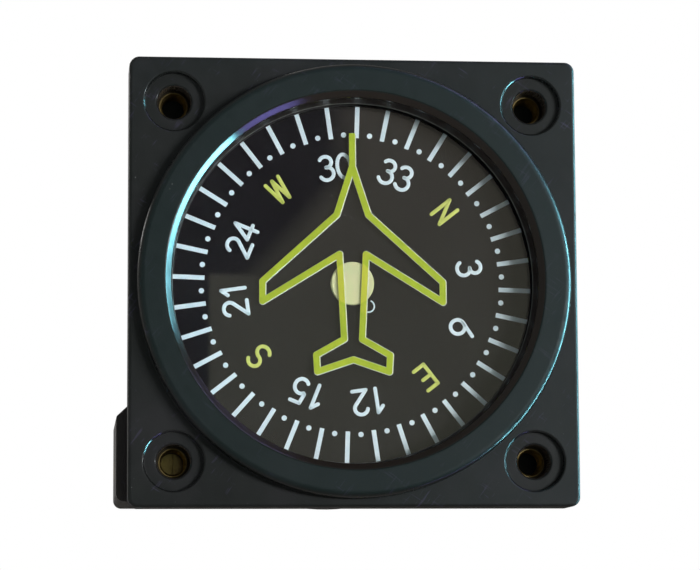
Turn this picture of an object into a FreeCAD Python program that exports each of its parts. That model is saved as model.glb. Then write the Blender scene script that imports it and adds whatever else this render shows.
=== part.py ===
import FreeCAD, Part
import math
import os

# Vertical card compass for a round panel cut-out.
# Millimetres. The origin is the centre of the flange face that seats against the panel.
# +Y runs aft into the panel, +X to the viewer's right and +Z up.

Vector = FreeCAD.Vector
AFT = Vector(0, 1, 0)
FORWARD = Vector(0, -1, 0)
UP = Vector(0, 0, 1)
DOWN = Vector(0, 0, -1)
LEFT = Vector(-1, 0, 0)
RIGHT = Vector(1, 0, 0)
ORIGIN = Vector(0, 0, 0)

# How far a drilled space runs past the faces it opens
CUT_OVERRUN = 1.0

# Register ring that enters the panel cut-out
REGISTER_RADIUS = 28.4
REGISTER_HEIGHT = 2.65
REGISTER_ROUND = 0.9

# Square flange and its four mounting holes
FLANGE_THICKNESS = 6.0
FLANGE_MARGIN = 5.925
FLANGE_CORNER_ROUND = 1.3
FLANGE_EDGE_ROUND = 0.4
BOLT_CIRCLE_STEP = 4.94
COUNTERBORE_RADIUS = 3.85
COUNTERBORE_DEPTH = 1.0
SCREW_HOLE_RADIUS = 2.2
HOLE_EDGE = 0.2
BOSS_RADIUS = 4.2
BOSS_HEIGHT = 3.0
BOSS_BLIND_END = 1.2
BOSS_ROUND = 0.5
INSERT_RADIUS = 2.7
INSERT_BORE_RADIUS = 1.75
INSERT_LENGTH = 4.8

# Window opening, its seat and the rear spigot
APERTURE_CHAMFER = 0.8
APERTURE_DRAFT = 0.2
APERTURE_STEP = 0.1
APERTURE_EDGE_ROUND = 0.2
SEAT_DEPTH = 1.2
DRUM_STEP = 0.4
DRUM_WALL = 1.4
DRUM_FIT = 0.1
SPIGOT_WALL = 1.3
SPIGOT_LENGTH = 7.0
SPIGOT_LEAD_IN = 0.4
BORE_FIT = 0.1

# Window stack
GASKET_THICKNESS = 0.3
GASKET_INSET = 0.1
GLASS_THICKNESS = 1.5
GLASS_EDGE_ROUND = 0.2
SPACER_LIP_THICKNESS = 0.5
SPACER_WALL = 0.5

# Aircraft figure and lubber line on the back of the glass
SYMBOL_THICKNESS = 0.06
SYMBOL_LINE_WIDTH = 0.8
LUBBER_TOP = 20.0
SYMBOL_NOSE_HEIGHT = 15.6
SYMBOL_SHOULDER = (2.09, 9.1)
SYMBOL_WING_TIP_FRONT = (11.93, 0.2)
SYMBOL_WING_TIP_REAR = (11.93, -2.45)
SYMBOL_WING_ROOT = (1.75, 3.85)
SYMBOL_TAIL_ROOT = (1.18, -7.4)
SYMBOL_TAIL_TIP_FRONT = (4.88, -9.5)
SYMBOL_TAIL_TIP_REAR = (4.75, -11.7)
SYMBOL_TAIL_HEIGHT = -10.1

# Azimuth card and its printed graduations
CARD_CLEARANCE = 0.4
CARD_OVERLAP = 0.5
CARD_GAP = 0.3
CARD_THICKNESS = 0.8
CARD_RIM_WIDTH = 1.0
CARD_RIM_HEIGHT = 0.4
CARD_RIM_ROUND = 0.2
CARD_HOLE_RADIUS = 1.5
MARK_COUNT = 36
MARK_THICKNESS = 0.05
TICK_WIDTH = 0.6
TICK_LENGTH = 4.35
TICK_RIM_GAP = 0.35
TICK_PHASE = 1.99
DOT_RADIUS = 0.35
DOT_CIRCLE_RADIUS = 19.92
DOT_PHASE = 6.99

# Card hub and shaft
HUB_RADIUS = 2.875
HUB_FRONT_HEIGHT = 0.5
HUB_ROUND = 0.2
CARD_SHAFT_RADIUS = 0.75
CARD_SHAFT_FLANGE_RADIUS = 2.6
CARD_SHAFT_FLANGE_THICKNESS = 0.7
CARD_SHAFT_COLLAR_RADIUS = 1.4
CARD_SHAFT_TAIL = 0.5
CARD_SHAFT_END_ROUND = 0.2
RUNNING_CLEARANCE = 0.05
END_PLAY = 0.1

# Movement plate, its ring and the bracket that carries the rotor
PLATE_THICKNESS = 1.6
RETAINING_RING_THICKNESS = 1.4
RETAINING_RING_WIDTH = 2.6
RING_NOTCH_COUNT = 4
RING_NOTCH_PHASE = 45.0
RING_NOTCH_WIDTH = 2.0
RING_NOTCH_DEPTH = 1.1
PILLAR_LENGTH = 4.4
PILLAR_RADIUS = 1.6
PILLAR_TENON_RADIUS = 1.0
PILLAR_SPREAD = 6.6
PILLAR_TOP = 8.5
PILLAR_BOTTOM = -14.5
BRACKET_THICKNESS = 1.6
BRACKET_BEND_RADIUS = 1.0
BRACKET_WIDTH = 18.0
ARM_END_RADIUS = 6.5
UPPER_ARM_HEIGHT = 12.0
BUSH_RADIUS = 2.0
BUSH_FLANGE_RADIUS = 2.8
BUSH_FLANGE_THICKNESS = 0.6
BRACKET_SCREW_RADIUS = 0.7
BRACKET_SCREW_LENGTH = 3.6

# Screw heads
SLOT_WIDTH = 0.5
SLOT_DEPTH = 0.5
SMALL_HEAD_RADIUS = 1.4
SMALL_HEAD_HEIGHT = 0.9

# Pair of equal bevel gears at right angles
GEAR_TEETH = 24
GEAR_PITCH_RADIUS = 6.0
GEAR_FACE_WIDTH = 2.5
PRESSURE_ANGLE = 20.0
ADDENDUM_FACTOR = 0.9
DEDENDUM_FACTOR = 1.2
GEAR_BACKLASH = 0.12
TOOTH_ROOT_OVERLAP = 0.3
GEAR_BACK_LAND = 1.0
GEAR_HUB_RADIUS = 2.6
GEAR_HUB_HEIGHT = 1.0

# Rotor with its magnet, pivots and jewels
ROTOR_SHAFT_RADIUS = 0.6
MAGNET_RADIUS = 7.0
MAGNET_THICKNESS = 4.0
MAGNET_EDGE_ROUND = 0.3
HOLDER_FLANGE_RADIUS = 3.6
HOLDER_FLANGE_THICKNESS = 0.8
HOLDER_TUBE_RADIUS = 1.6
HOLDER_TAIL = 0.2
PIVOT_TIP_RADIUS = 0.08
PIVOT_LENGTH = 1.4
PIVOT_DEPTH = 0.45
JEWEL_RADIUS = 0.9
JEWEL_THICKNESS = 1.0
JEWEL_CUP_RADIUS = 0.6
JEWEL_CUP_DEPTH = 0.5
JEWEL_CUP_FLOOR_RADIUS = 0.12
JEWEL_SCREW_RADIUS = 1.5
LOWER_SCREW_RISE = 0.8
UPPER_SCREW_DROP = 2.4
JEWEL_SCREW_TAIL = 1.6
JEWEL_SCREW_DRUM_GAP = 1.2
NUT_ACROSS_FLATS = 5.0
NUT_SIDES = 6
NUT_THICKNESS = 1.6

# Damping cup round the magnet
CUP_WALL = 1.2
CUP_GAP = 1.2
CUP_FLOOR_GAP = 2.2
CUP_RIM_RISE = 1.6
CUP_FLOOR_ROUND = 0.8
CUP_CLEARANCE = 4.0

# Case drum and its screws
CASE_DEPTH = 48.0
DRUM_REAR_WALL = 1.6
DRUM_REAR_ROUND = 3.0
CASE_SCREW_COUNT = 4
CASE_SCREW_DEPTH = 4.6
CASE_SCREW_RADIUS = 0.9
CASE_SCREW_HEAD_RADIUS = 1.8
CASE_SCREW_HEAD_HEIGHT = 0.8

# Compensator housing behind the lower left corner
HOUSING_OVERHANG = 1.4
HOUSING_BOTTOM_INSET = 1.0
HOUSING_RISE = 7.6
HOUSING_SLOPE = 1.4
HOUSING_SLOPE_INSET = 0.1
HOUSING_REACH = 8.0
HOUSING_ROUND = 1.1
HOUSING_WALL = 1.2
HOUSING_DRUM_GAP = 0.3
HOUSING_BOSS_GAP = 0.2
HOUSING_BEARING_LENGTH = 2.2
POCKET_ROUND = 0.6
CHAMBER_RADIUS = 3.9
COVER_THICKNESS = 1.2
COVER_LIP_HEIGHT = 0.5
COVER_LIP_FIT = 0.1
COVER_SCREW_OUT = 4.025
COVER_SCREW_ALONG = 5.6
COVER_SCREW_RISE = 1.8
COVER_SCREW_RADIUS = 0.95
COVER_SCREW_CLEARANCE = 0.1
COVER_SCREW_BITE = 2.7
COVER_SCREW_WALL = 0.85
COVER_SCREW_HEAD_RADIUS = 1.7
COVER_SCREW_HEAD_HEIGHT = 1.1

# Compensator spindles, rod magnets and the bent plate that carries their inner ends
SPINDLE_JOURNAL_RADIUS = 1.5
SPINDLE_COLLAR_RADIUS = 2.4
SPINDLE_COLLAR_THICKNESS = 0.8
SPINDLE_BARREL_RADIUS = 1.9
SPINDLE_TAIL_RADIUS = 0.9
SPINDLE_TAIL_LENGTH = 1.1
EW_BARREL_LENGTH = 6.5
ROD_MAGNET_RADIUS = 1.0
ROD_MAGNET_LENGTH = 6.4
ROD_SWEEP_GAP = 0.3
BEARING_PLATE_THICKNESS = 1.2
BEARING_PLATE_FIT = 0.1
LUG_THICKNESS = 1.1
LUG_OFFSET = 1.675
LUG_GAP = 0.4
LUG_WALL = 1.6

# Places that follow from the sizes above
DRUM_RADIUS = REGISTER_RADIUS - DRUM_STEP
DRUM_INNER_RADIUS = DRUM_RADIUS - DRUM_WALL
SPIGOT_RADIUS = DRUM_INNER_RADIUS - DRUM_FIT
BORE_RADIUS = SPIGOT_RADIUS - SPIGOT_WALL
STACK_RADIUS = BORE_RADIUS - BORE_FIT
SPACER_INNER_RADIUS = STACK_RADIUS - SPACER_WALL
CARD_RADIUS = SPACER_INNER_RADIUS - CARD_CLEARANCE
SPACER_LIP_RADIUS = CARD_RADIUS - CARD_OVERLAP
APERTURE_RADIUS = SPACER_LIP_RADIUS + APERTURE_STEP
HOLE_OFFSET = (REGISTER_RADIUS + BOLT_CIRCLE_STEP) / math.sqrt(2)
FLANGE_HALF = HOLE_OFFSET + FLANGE_MARGIN
SPIGOT_REAR = FLANGE_THICKNESS + SPIGOT_LENGTH
BOSS_REAR = FLANGE_THICKNESS + BOSS_HEIGHT
INSERT_FRONT = BOSS_REAR - INSERT_LENGTH

GLASS_FRONT = SEAT_DEPTH + GASKET_THICKNESS
GLASS_REAR = GLASS_FRONT + GLASS_THICKNESS
HUB_FRONT = GLASS_REAR + CARD_GAP
CARD_FRONT = HUB_FRONT + HUB_FRONT_HEIGHT
CARD_REAR = CARD_FRONT + CARD_THICKNESS
SHAFT_FLANGE_REAR = CARD_REAR + CARD_SHAFT_FLANGE_THICKNESS
PLATE_FRONT = SHAFT_FLANGE_REAR + 2 * CARD_GAP + END_PLAY
PLATE_REAR = PLATE_FRONT + PLATE_THICKNESS
RING_REAR = PLATE_REAR + RETAINING_RING_THICKNESS
BRACKET_FRONT = PLATE_REAR + PILLAR_LENGTH
BRACKET_REAR = BRACKET_FRONT + BRACKET_THICKNESS

CUP_INNER_RADIUS = MAGNET_RADIUS + CUP_GAP
CUP_RADIUS = CUP_INNER_RADIUS + CUP_WALL
ROTOR_Y = BRACKET_REAR + CUP_CLEARANCE + CUP_RADIUS

GEAR_CONE_DISTANCE = GEAR_PITCH_RADIUS * math.sqrt(2)
GEAR_MODULE = 2 * GEAR_PITCH_RADIUS / GEAR_TEETH
GEAR_ROOT_DISTANCE = GEAR_CONE_DISTANCE - DEDENDUM_FACTOR * GEAR_MODULE
GEAR_SMALL_END = (GEAR_CONE_DISTANCE - GEAR_FACE_WIDTH) / GEAR_CONE_DISTANCE
GEAR_ROOT_RADIUS = GEAR_ROOT_DISTANCE / math.sqrt(2)
GEAR_ROOT_HEIGHT = 2 * GEAR_PITCH_RADIUS - GEAR_ROOT_RADIUS
GEAR_LAND_HEIGHT = GEAR_ROOT_HEIGHT + GEAR_BACK_LAND
GEAR_BACK = GEAR_LAND_HEIGHT + GEAR_HUB_HEIGHT

LOWER_SCREW_END = JEWEL_SCREW_DRUM_GAP - DRUM_INNER_RADIUS
LOWER_ARM_UNDERSIDE = LOWER_SCREW_END + JEWEL_SCREW_TAIL + NUT_THICKNESS
LOWER_ARM_TOP = LOWER_ARM_UNDERSIDE + BRACKET_THICKNESS
CUP_FLOOR = LOWER_ARM_TOP + CUP_WALL
MAGNET_BOTTOM = CUP_FLOOR + CUP_FLOOR_GAP
MAGNET_TOP = MAGNET_BOTTOM + MAGNET_THICKNESS
UPPER_ARM_TOP = UPPER_ARM_HEIGHT + BRACKET_THICKNESS
LOWER_JEWEL_FACE = CUP_FLOOR + LOWER_SCREW_RISE
UPPER_JEWEL_FACE = UPPER_ARM_HEIGHT - UPPER_SCREW_DROP

ROD_SWEEP = math.hypot(ROD_MAGNET_LENGTH / 2, ROD_MAGNET_RADIUS)
HOUSING_LEFT = -FLANGE_HALF - HOUSING_OVERHANG
HOUSING_BOTTOM = -FLANGE_HALF + HOUSING_BOTTOM_INSET
HOUSING_TOP = -HOLE_OFFSET + HOUSING_RISE
HOUSING_RIGHT = -HOLE_OFFSET + HOUSING_REACH
HOUSING_CONCAVE_RADIUS = DRUM_RADIUS + HOUSING_DRUM_GAP
BEARING_FRONT = BOSS_REAR + HOUSING_BOSS_GAP
CHAMBER_FRONT = BEARING_FRONT + HOUSING_BEARING_LENGTH
EW_COLLAR_FRONT = CHAMBER_FRONT + END_PLAY
EW_BARREL_FRONT = EW_COLLAR_FRONT + SPINDLE_COLLAR_THICKNESS
EW_BARREL_REAR = EW_BARREL_FRONT + EW_BARREL_LENGTH
BEARING_PLATE_FRONT = EW_BARREL_REAR + END_PLAY
BEARING_PLATE_REAR = BEARING_PLATE_FRONT + BEARING_PLATE_THICKNESS
NS_AXIS_Y = BEARING_PLATE_REAR + ROD_SWEEP + ROD_SWEEP_GAP
NS_AXIS_Z = HOUSING_BOTTOM + HOUSING_WALL + ROD_SWEEP + ROD_SWEEP_GAP
COVER_LIP_FRONT = NS_AXIS_Y + ROD_SWEEP + ROD_SWEEP_GAP
COVER_FRONT = COVER_LIP_FRONT + COVER_LIP_HEIGHT
COVER_REAR = COVER_FRONT + COVER_THICKNESS
LUG_LEFT = -HOLE_OFFSET + LUG_OFFSET
LUG_RIGHT = LUG_LEFT + LUG_THICKNESS
COVER_SCREWS = [
    (-HOLE_OFFSET - COVER_SCREW_OUT, -HOLE_OFFSET + COVER_SCREW_ALONG),
    (-HOLE_OFFSET + COVER_SCREW_ALONG, HOUSING_BOTTOM + COVER_SCREW_RISE),
]


def rounded_wire(corners):
    """Closed wire through (point, rounding) corners, each rounding a tangent arc."""
    bends = []
    for index, (corner, rounding) in enumerate(corners):
        back = (corners[index - 1][0] - corner).normalize()
        onward = (corners[(index + 1) % len(corners)][0] - corner).normalize()
        half_angle = back.getAngle(onward) / 2
        bisector = (back + onward).normalize()
        reach = rounding / math.tan(half_angle)
        middle = corner + bisector * (rounding / math.sin(half_angle) - rounding)
        bends.append((corner + back * reach, middle, corner + onward * reach))
    edges = []
    for index, (start, middle, end) in enumerate(bends):
        if corners[index][1] > 0:
            edges.append(Part.Arc(start, middle, end).toShape())
        edges.append(Part.LineSegment(end, bends[(index + 1) % len(bends)][0]).toShape())
    return Part.Wire(edges)


def turned(profile):
    """Solid turned about the instrument's long axis from (radius, y, rounding) corners."""
    wire = rounded_wire([(Vector(radius, y, 0), rounding) for radius, y, rounding in profile])
    return Part.Face(wire).revolve(ORIGIN, AFT, 360)


def turned_upright(profile):
    """Solid turned about the rotor axis from (radius, z, rounding) corners."""
    wire = rounded_wire([(Vector(radius, 0, z), rounding) for radius, z, rounding in profile])
    solid = Part.Face(wire).revolve(ORIGIN, UP, 360)
    solid.translate(AFT * ROTOR_Y)
    return solid


def plate(outline, front, rear):
    """Flat piece between two depths from (x, z, rounding) corners."""
    wire = rounded_wire([(Vector(x, front, z), rounding) for x, z, rounding in outline])
    return Part.Face(wire).extrude(AFT * (rear - front))


def bar(radius, start, end):
    """Round bar between two points."""
    return Part.makeCylinder(radius, (end - start).Length, start, end - start)


def pin_aft(radius, x, z, front, rear):
    """Round bar along the long axis at one place of the face."""
    return bar(radius, Vector(x, front, z), Vector(x, rear, z))


def box_between(low, high):
    """Block between its lowest and highest corners."""
    size = high - low
    return Part.makeBox(size.x, size.y, size.z, low)


def corner_places(offset):
    """The four (x, z) places at equal offsets from the centre."""
    return [(x * offset, z * offset) for x in (-1, 1) for z in (-1, 1)]


def slotted_screw(seat, outward, shank, head):
    """Cheese-head screw seated at a point: shank is (radius, length), head is (radius, height)."""
    body = Part.makeCylinder(shank[0], shank[1], DOWN * shank[1], UP)
    top = Part.makeCylinder(head[0], head[1])
    slot_low = Vector(-head[0], -SLOT_WIDTH / 2, head[1] - SLOT_DEPTH)
    slot_high = Vector(head[0], SLOT_WIDTH / 2, head[1] + SLOT_DEPTH)
    screw = body.fuse(top.cut(box_between(slot_low, slot_high))).removeSplitter()
    screw.Placement = FreeCAD.Placement(seat, FreeCAD.Rotation(UP, outward))
    return screw


def annulus(inner, outer, front, rear):
    """Plain ring about the long axis."""
    return turned([(inner, front, 0), (outer, front, 0), (outer, rear, 0), (inner, rear, 0)])


def mounting_hole(x, z):
    """Space of a counterbored screw hole in front of its insert, with both rims chamfered."""
    hole = turned([
        (0, -HOLE_EDGE, 0),
        (COUNTERBORE_RADIUS + 2 * HOLE_EDGE, -HOLE_EDGE, 0),
        (COUNTERBORE_RADIUS, HOLE_EDGE, 0),
        (COUNTERBORE_RADIUS, COUNTERBORE_DEPTH, 0),
        (SCREW_HOLE_RADIUS + HOLE_EDGE, COUNTERBORE_DEPTH, 0),
        (SCREW_HOLE_RADIUS, COUNTERBORE_DEPTH + HOLE_EDGE, 0),
        (SCREW_HOLE_RADIUS, INSERT_FRONT, 0),
        (0, INSERT_FRONT, 0),
    ])
    hole.translate(Vector(x, 0, z))
    return hole


def bezel():
    """Moulded flange, register ring, window seat, spigot and corner bosses in one piece."""
    flange = plate(
        [(x * FLANGE_HALF, z * FLANGE_HALF, FLANGE_CORNER_ROUND)
         for x, z in ((-1, -1), (1, -1), (1, 1), (-1, 1))],
        0, FLANGE_THICKNESS)
    front_edges = [edge for edge in flange.Edges if edge.BoundBox.YMax < FLANGE_THICKNESS / 2]
    flange = flange.makeFillet(FLANGE_EDGE_ROUND, front_edges)
    flange = flange.cut(bar(BORE_RADIUS, ORIGIN, AFT * FLANGE_THICKNESS))
    chamfer_radius = APERTURE_RADIUS + APERTURE_DRAFT + APERTURE_CHAMFER
    ring = turned([
        (chamfer_radius, -REGISTER_HEIGHT, APERTURE_EDGE_ROUND),
        (REGISTER_RADIUS, -REGISTER_HEIGHT, REGISTER_ROUND),
        (REGISTER_RADIUS, 0, 0),
        (SPIGOT_RADIUS, 0, 0),
        (SPIGOT_RADIUS, SPIGOT_REAR, SPIGOT_LEAD_IN),
        (BORE_RADIUS, SPIGOT_REAR, SPIGOT_LEAD_IN),
        (BORE_RADIUS, SEAT_DEPTH, 0),
        (APERTURE_RADIUS, SEAT_DEPTH, 0),
        (APERTURE_RADIUS + APERTURE_DRAFT, APERTURE_CHAMFER - REGISTER_HEIGHT, APERTURE_EDGE_ROUND),
    ])
    body = flange.fuse(ring)
    for x, z in corner_places(HOLE_OFFSET):
        adjuster_corner = x < 0 and z < 0
        boss_end = BOSS_REAR if adjuster_corner else BOSS_REAR + BOSS_BLIND_END
        boss = pin_aft(BOSS_RADIUS, x, z, FLANGE_THICKNESS / 2, boss_end)
        rim = [edge for edge in boss.Edges if edge.BoundBox.YMin > FLANGE_THICKNESS]
        body = body.fuse(boss.makeFillet(BOSS_ROUND, rim))
    for x, z in corner_places(HOLE_OFFSET):
        body = body.cut(mounting_hole(x, z))
        body = body.cut(pin_aft(INSERT_RADIUS, x, z, INSERT_FRONT, BOSS_REAR))
    for outward in case_screw_directions():
        screw_y = AFT * (FLANGE_THICKNESS + CASE_SCREW_DEPTH)
        inner_end = screw_y + outward * (BORE_RADIUS - CUT_OVERRUN)
        body = body.cut(bar(CASE_SCREW_RADIUS, inner_end, screw_y + outward * DRUM_RADIUS))
    for x, z in COVER_SCREWS:
        hole_front = FLANGE_THICKNESS - COVER_SCREW_BITE - END_PLAY
        body = body.cut(pin_aft(COVER_SCREW_RADIUS, x, z, hole_front, FLANGE_THICKNESS))
    return body.removeSplitter()


def mounting_inserts():
    """Four threaded bushes moulded into the corner bosses."""
    bushes = []
    for x, z in corner_places(HOLE_OFFSET):
        outside = pin_aft(INSERT_RADIUS, x, z, INSERT_FRONT, BOSS_REAR)
        bushes.append(outside.cut(pin_aft(INSERT_BORE_RADIUS, x, z, INSERT_FRONT, BOSS_REAR)))
    return Part.makeCompound(bushes)


def window_gasket():
    return annulus(APERTURE_RADIUS + GASKET_INSET, STACK_RADIUS, SEAT_DEPTH, GLASS_FRONT)


def window_glass():
    return turned([
        (0, GLASS_FRONT, 0),
        (STACK_RADIUS, GLASS_FRONT, GLASS_EDGE_ROUND),
        (STACK_RADIUS, GLASS_REAR, GLASS_EDGE_ROUND),
        (0, GLASS_REAR, 0),
    ])


def symbol_face(margin):
    """Plan of the aircraft figure, grown or shrunk from its centre line."""
    right_side = [
        SYMBOL_SHOULDER,
        SYMBOL_WING_TIP_FRONT,
        SYMBOL_WING_TIP_REAR,
        SYMBOL_WING_ROOT,
        SYMBOL_TAIL_ROOT,
        SYMBOL_TAIL_TIP_FRONT,
        SYMBOL_TAIL_TIP_REAR,
    ]
    left_side = [(-x, z) for x, z in reversed(right_side)]
    points = [(0, SYMBOL_NOSE_HEIGHT)] + right_side + [(0, SYMBOL_TAIL_HEIGHT)] + left_side
    outline = Part.makePolygon([Vector(x, GLASS_REAR, z) for x, z in points + points[:1]])
    return Part.Face(outline).makeOffset2D(margin)


def aircraft_symbol():
    """Outlined aircraft with the lubber line from its nose, a thin film on the glass."""
    half_line = SYMBOL_LINE_WIDTH / 2
    figure = symbol_face(half_line).cut(symbol_face(-half_line))
    figure = figure.extrude(AFT * SYMBOL_THICKNESS)
    line_low = Vector(-half_line, GLASS_REAR, SYMBOL_NOSE_HEIGHT)
    line_high = Vector(half_line, GLASS_REAR + SYMBOL_THICKNESS, LUBBER_TOP)
    return figure.fuse(box_between(line_low, line_high)).removeSplitter()


def window_spacer_ring():
    """Ring that holds the glass forward and keeps the card clear of it."""
    return turned([
        (SPACER_LIP_RADIUS, GLASS_REAR, 0),
        (STACK_RADIUS, GLASS_REAR, 0),
        (STACK_RADIUS, PLATE_FRONT, 0),
        (SPACER_INNER_RADIUS, PLATE_FRONT, 0),
        (SPACER_INNER_RADIUS, GLASS_REAR + SPACER_LIP_THICKNESS, 0),
        (SPACER_LIP_RADIUS, GLASS_REAR + SPACER_LIP_THICKNESS, 0),
    ])


def azimuth_card():
    """Dished disc that carries the graduations, with a stiffening rim behind."""
    return turned([
        (CARD_HOLE_RADIUS, CARD_FRONT, 0),
        (CARD_RADIUS, CARD_FRONT, 0),
        (CARD_RADIUS, CARD_REAR + CARD_RIM_HEIGHT, CARD_RIM_ROUND),
        (CARD_RADIUS - CARD_RIM_WIDTH, CARD_REAR + CARD_RIM_HEIGHT, CARD_RIM_ROUND),
        (CARD_RADIUS - CARD_RIM_WIDTH, CARD_REAR, 0),
        (CARD_HOLE_RADIUS, CARD_REAR, 0),
    ])


def card_graduations():
    """Printed ticks and dots, one of each every ten degrees."""
    marks = []
    tick_outer = CARD_RADIUS - TICK_RIM_GAP
    face = CARD_FRONT - MARK_THICKNESS
    for index in range(MARK_COUNT):
        turn = 360.0 * index / MARK_COUNT
        tick = box_between(
            Vector(-TICK_WIDTH / 2, face, tick_outer - TICK_LENGTH),
            Vector(TICK_WIDTH / 2, CARD_FRONT, tick_outer))
        tick.rotate(ORIGIN, AFT, turn + TICK_PHASE)
        dot = pin_aft(DOT_RADIUS, 0, DOT_CIRCLE_RADIUS, face, CARD_FRONT)
        dot.rotate(ORIGIN, AFT, turn + DOT_PHASE)
        marks.extend([tick, dot])
    return Part.makeCompound(marks)


def card_hub():
    """Pale button in the middle of the card, with a boss through its hole."""
    return turned([
        (0, HUB_FRONT, 0),
        (HUB_RADIUS, HUB_FRONT, HUB_ROUND),
        (HUB_RADIUS, CARD_FRONT, 0),
        (CARD_HOLE_RADIUS, CARD_FRONT, 0),
        (CARD_HOLE_RADIUS, CARD_REAR, 0),
        (CARD_SHAFT_RADIUS, CARD_REAR, 0),
        (CARD_SHAFT_RADIUS, CARD_FRONT, 0),
        (0, CARD_FRONT, 0),
    ])


def card_shaft():
    """Horizontal shaft from the card to its bevel gear, with the card seat and a thrust collar."""
    collar_front = PLATE_REAR + BUSH_FLANGE_THICKNESS + END_PLAY
    collar_rear = BRACKET_FRONT - BUSH_FLANGE_THICKNESS - END_PLAY
    tail = ROTOR_Y - GEAR_SMALL_END * GEAR_ROOT_HEIGHT + CARD_SHAFT_TAIL
    return turned([
        (0, CARD_FRONT, 0),
        (CARD_SHAFT_RADIUS, CARD_FRONT, 0),
        (CARD_SHAFT_RADIUS, CARD_REAR, 0),
        (CARD_SHAFT_FLANGE_RADIUS, CARD_REAR, 0),
        (CARD_SHAFT_FLANGE_RADIUS, SHAFT_FLANGE_REAR, 0),
        (CARD_SHAFT_RADIUS, SHAFT_FLANGE_REAR, 0),
        (CARD_SHAFT_RADIUS, collar_front, 0),
        (CARD_SHAFT_COLLAR_RADIUS, collar_front, 0),
        (CARD_SHAFT_COLLAR_RADIUS, collar_rear, 0),
        (CARD_SHAFT_RADIUS, collar_rear, 0),
        (CARD_SHAFT_RADIUS, tail, CARD_SHAFT_END_ROUND),
        (0, tail, 0),
    ])


def tooth_half_angle(distance):
    """Half the angle of a tooth at a distance from the back cone's apex, on the unrolled back cone."""
    base = GEAR_CONE_DISTANCE * math.cos(math.radians(PRESSURE_ANGLE))
    pitch_pressure = math.radians(PRESSURE_ANGLE)
    local_pressure = math.acos(min(1.0, base / distance))
    thickness = math.pi * GEAR_MODULE / 2 - GEAR_BACKLASH
    pitch_half = thickness / (2 * GEAR_CONE_DISTANCE)
    involute_pitch = math.tan(pitch_pressure) - pitch_pressure
    involute_local = math.tan(local_pressure) - local_pressure
    return pitch_half + involute_pitch - involute_local


def bevel_tooth():
    """One straight tooth: an involute section on the back cone that narrows to the cone apex."""
    base = GEAR_CONE_DISTANCE * math.cos(math.radians(PRESSURE_ANGLE))
    tip = GEAR_CONE_DISTANCE + ADDENDUM_FACTOR * GEAR_MODULE
    buried = GEAR_ROOT_DISTANCE - TOOTH_ROOT_OVERLAP
    flank = [buried, max(base, GEAR_ROOT_DISTANCE), GEAR_CONE_DISTANCE, tip]
    section = []
    for side, distances in ((-1, flank), (1, list(reversed(flank)))):
        for distance in distances:
            angle = side * tooth_half_angle(distance)
            along = distance * math.cos(angle) / math.sqrt(2)
            across = distance * math.sin(angle)
            section.append(Vector(across, -along, along - 2 * GEAR_PITCH_RADIUS))
    large = Part.makePolygon(section + section[:1])
    small = Part.makePolygon([point * GEAR_SMALL_END for point in section + section[:1]])
    return Part.makeLoft([large, small], True, True)


def mitre_gear(bore, tooth_phase):
    """Bevel gear with its cone apex at the origin and its back towards -Z."""
    small_radius = GEAR_SMALL_END * GEAR_ROOT_RADIUS
    small_height = GEAR_SMALL_END * GEAR_ROOT_HEIGHT
    land_radius = GEAR_ROOT_RADIUS - GEAR_BACK_LAND
    outline = [
        (bore, small_height),
        (small_radius, small_height),
        (GEAR_ROOT_RADIUS, GEAR_ROOT_HEIGHT),
        (land_radius, GEAR_LAND_HEIGHT),
        (GEAR_HUB_RADIUS, GEAR_LAND_HEIGHT),
        (GEAR_HUB_RADIUS, GEAR_BACK),
        (bore, GEAR_BACK),
    ]
    wire = rounded_wire([(Vector(radius, 0, -height), 0) for radius, height in outline])
    blank = Part.Face(wire).revolve(ORIGIN, UP, 360)
    teeth = []
    for index in range(GEAR_TEETH):
        tooth = bevel_tooth()
        tooth.rotate(ORIGIN, UP, 360.0 * (index + tooth_phase) / GEAR_TEETH)
        teeth.append(tooth)
    return blank.multiFuse(teeth).removeSplitter()


def card_gear():
    """Gear on the card shaft, its apex on the rotor axis."""
    gear = mitre_gear(CARD_SHAFT_RADIUS, 0)
    gear.rotate(ORIGIN, RIGHT, -90)
    gear.translate(AFT * ROTOR_Y)
    return gear


def rotor_gear():
    """Gear on the rotor shaft, half a tooth round from the card gear so that the two mesh."""
    gear = mitre_gear(ROTOR_SHAFT_RADIUS, 0.5)
    gear.translate(AFT * ROTOR_Y)
    return gear


def movement_plate():
    """Round plate across the bore that carries the movement."""
    disc = bar(STACK_RADIUS, AFT * PLATE_FRONT, AFT * PLATE_REAR)
    disc = disc.cut(bar(BUSH_RADIUS, AFT * PLATE_FRONT, AFT * PLATE_REAR))
    for x, z in pillar_places():
        disc = disc.cut(pin_aft(PILLAR_TENON_RADIUS, x, z, PLATE_FRONT, PLATE_REAR))
    return disc


def retaining_ring():
    """Threaded ring that clamps the plate and the window stack, with four spanner notches."""
    inner = STACK_RADIUS - RETAINING_RING_WIDTH
    ring = annulus(inner, STACK_RADIUS, PLATE_REAR, RING_REAR)
    for index in range(RING_NOTCH_COUNT):
        notch = box_between(
            Vector(-RING_NOTCH_WIDTH / 2, PLATE_REAR, inner - CUT_OVERRUN),
            Vector(RING_NOTCH_WIDTH / 2, RING_REAR, inner + RING_NOTCH_DEPTH))
        notch.rotate(ORIGIN, AFT, 360.0 * index / RING_NOTCH_COUNT + RING_NOTCH_PHASE)
        ring = ring.cut(notch)
    return ring


def pillar_places():
    return [(x, z) for x in (-PILLAR_SPREAD, PILLAR_SPREAD) for z in (PILLAR_BOTTOM, PILLAR_TOP)]


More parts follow.
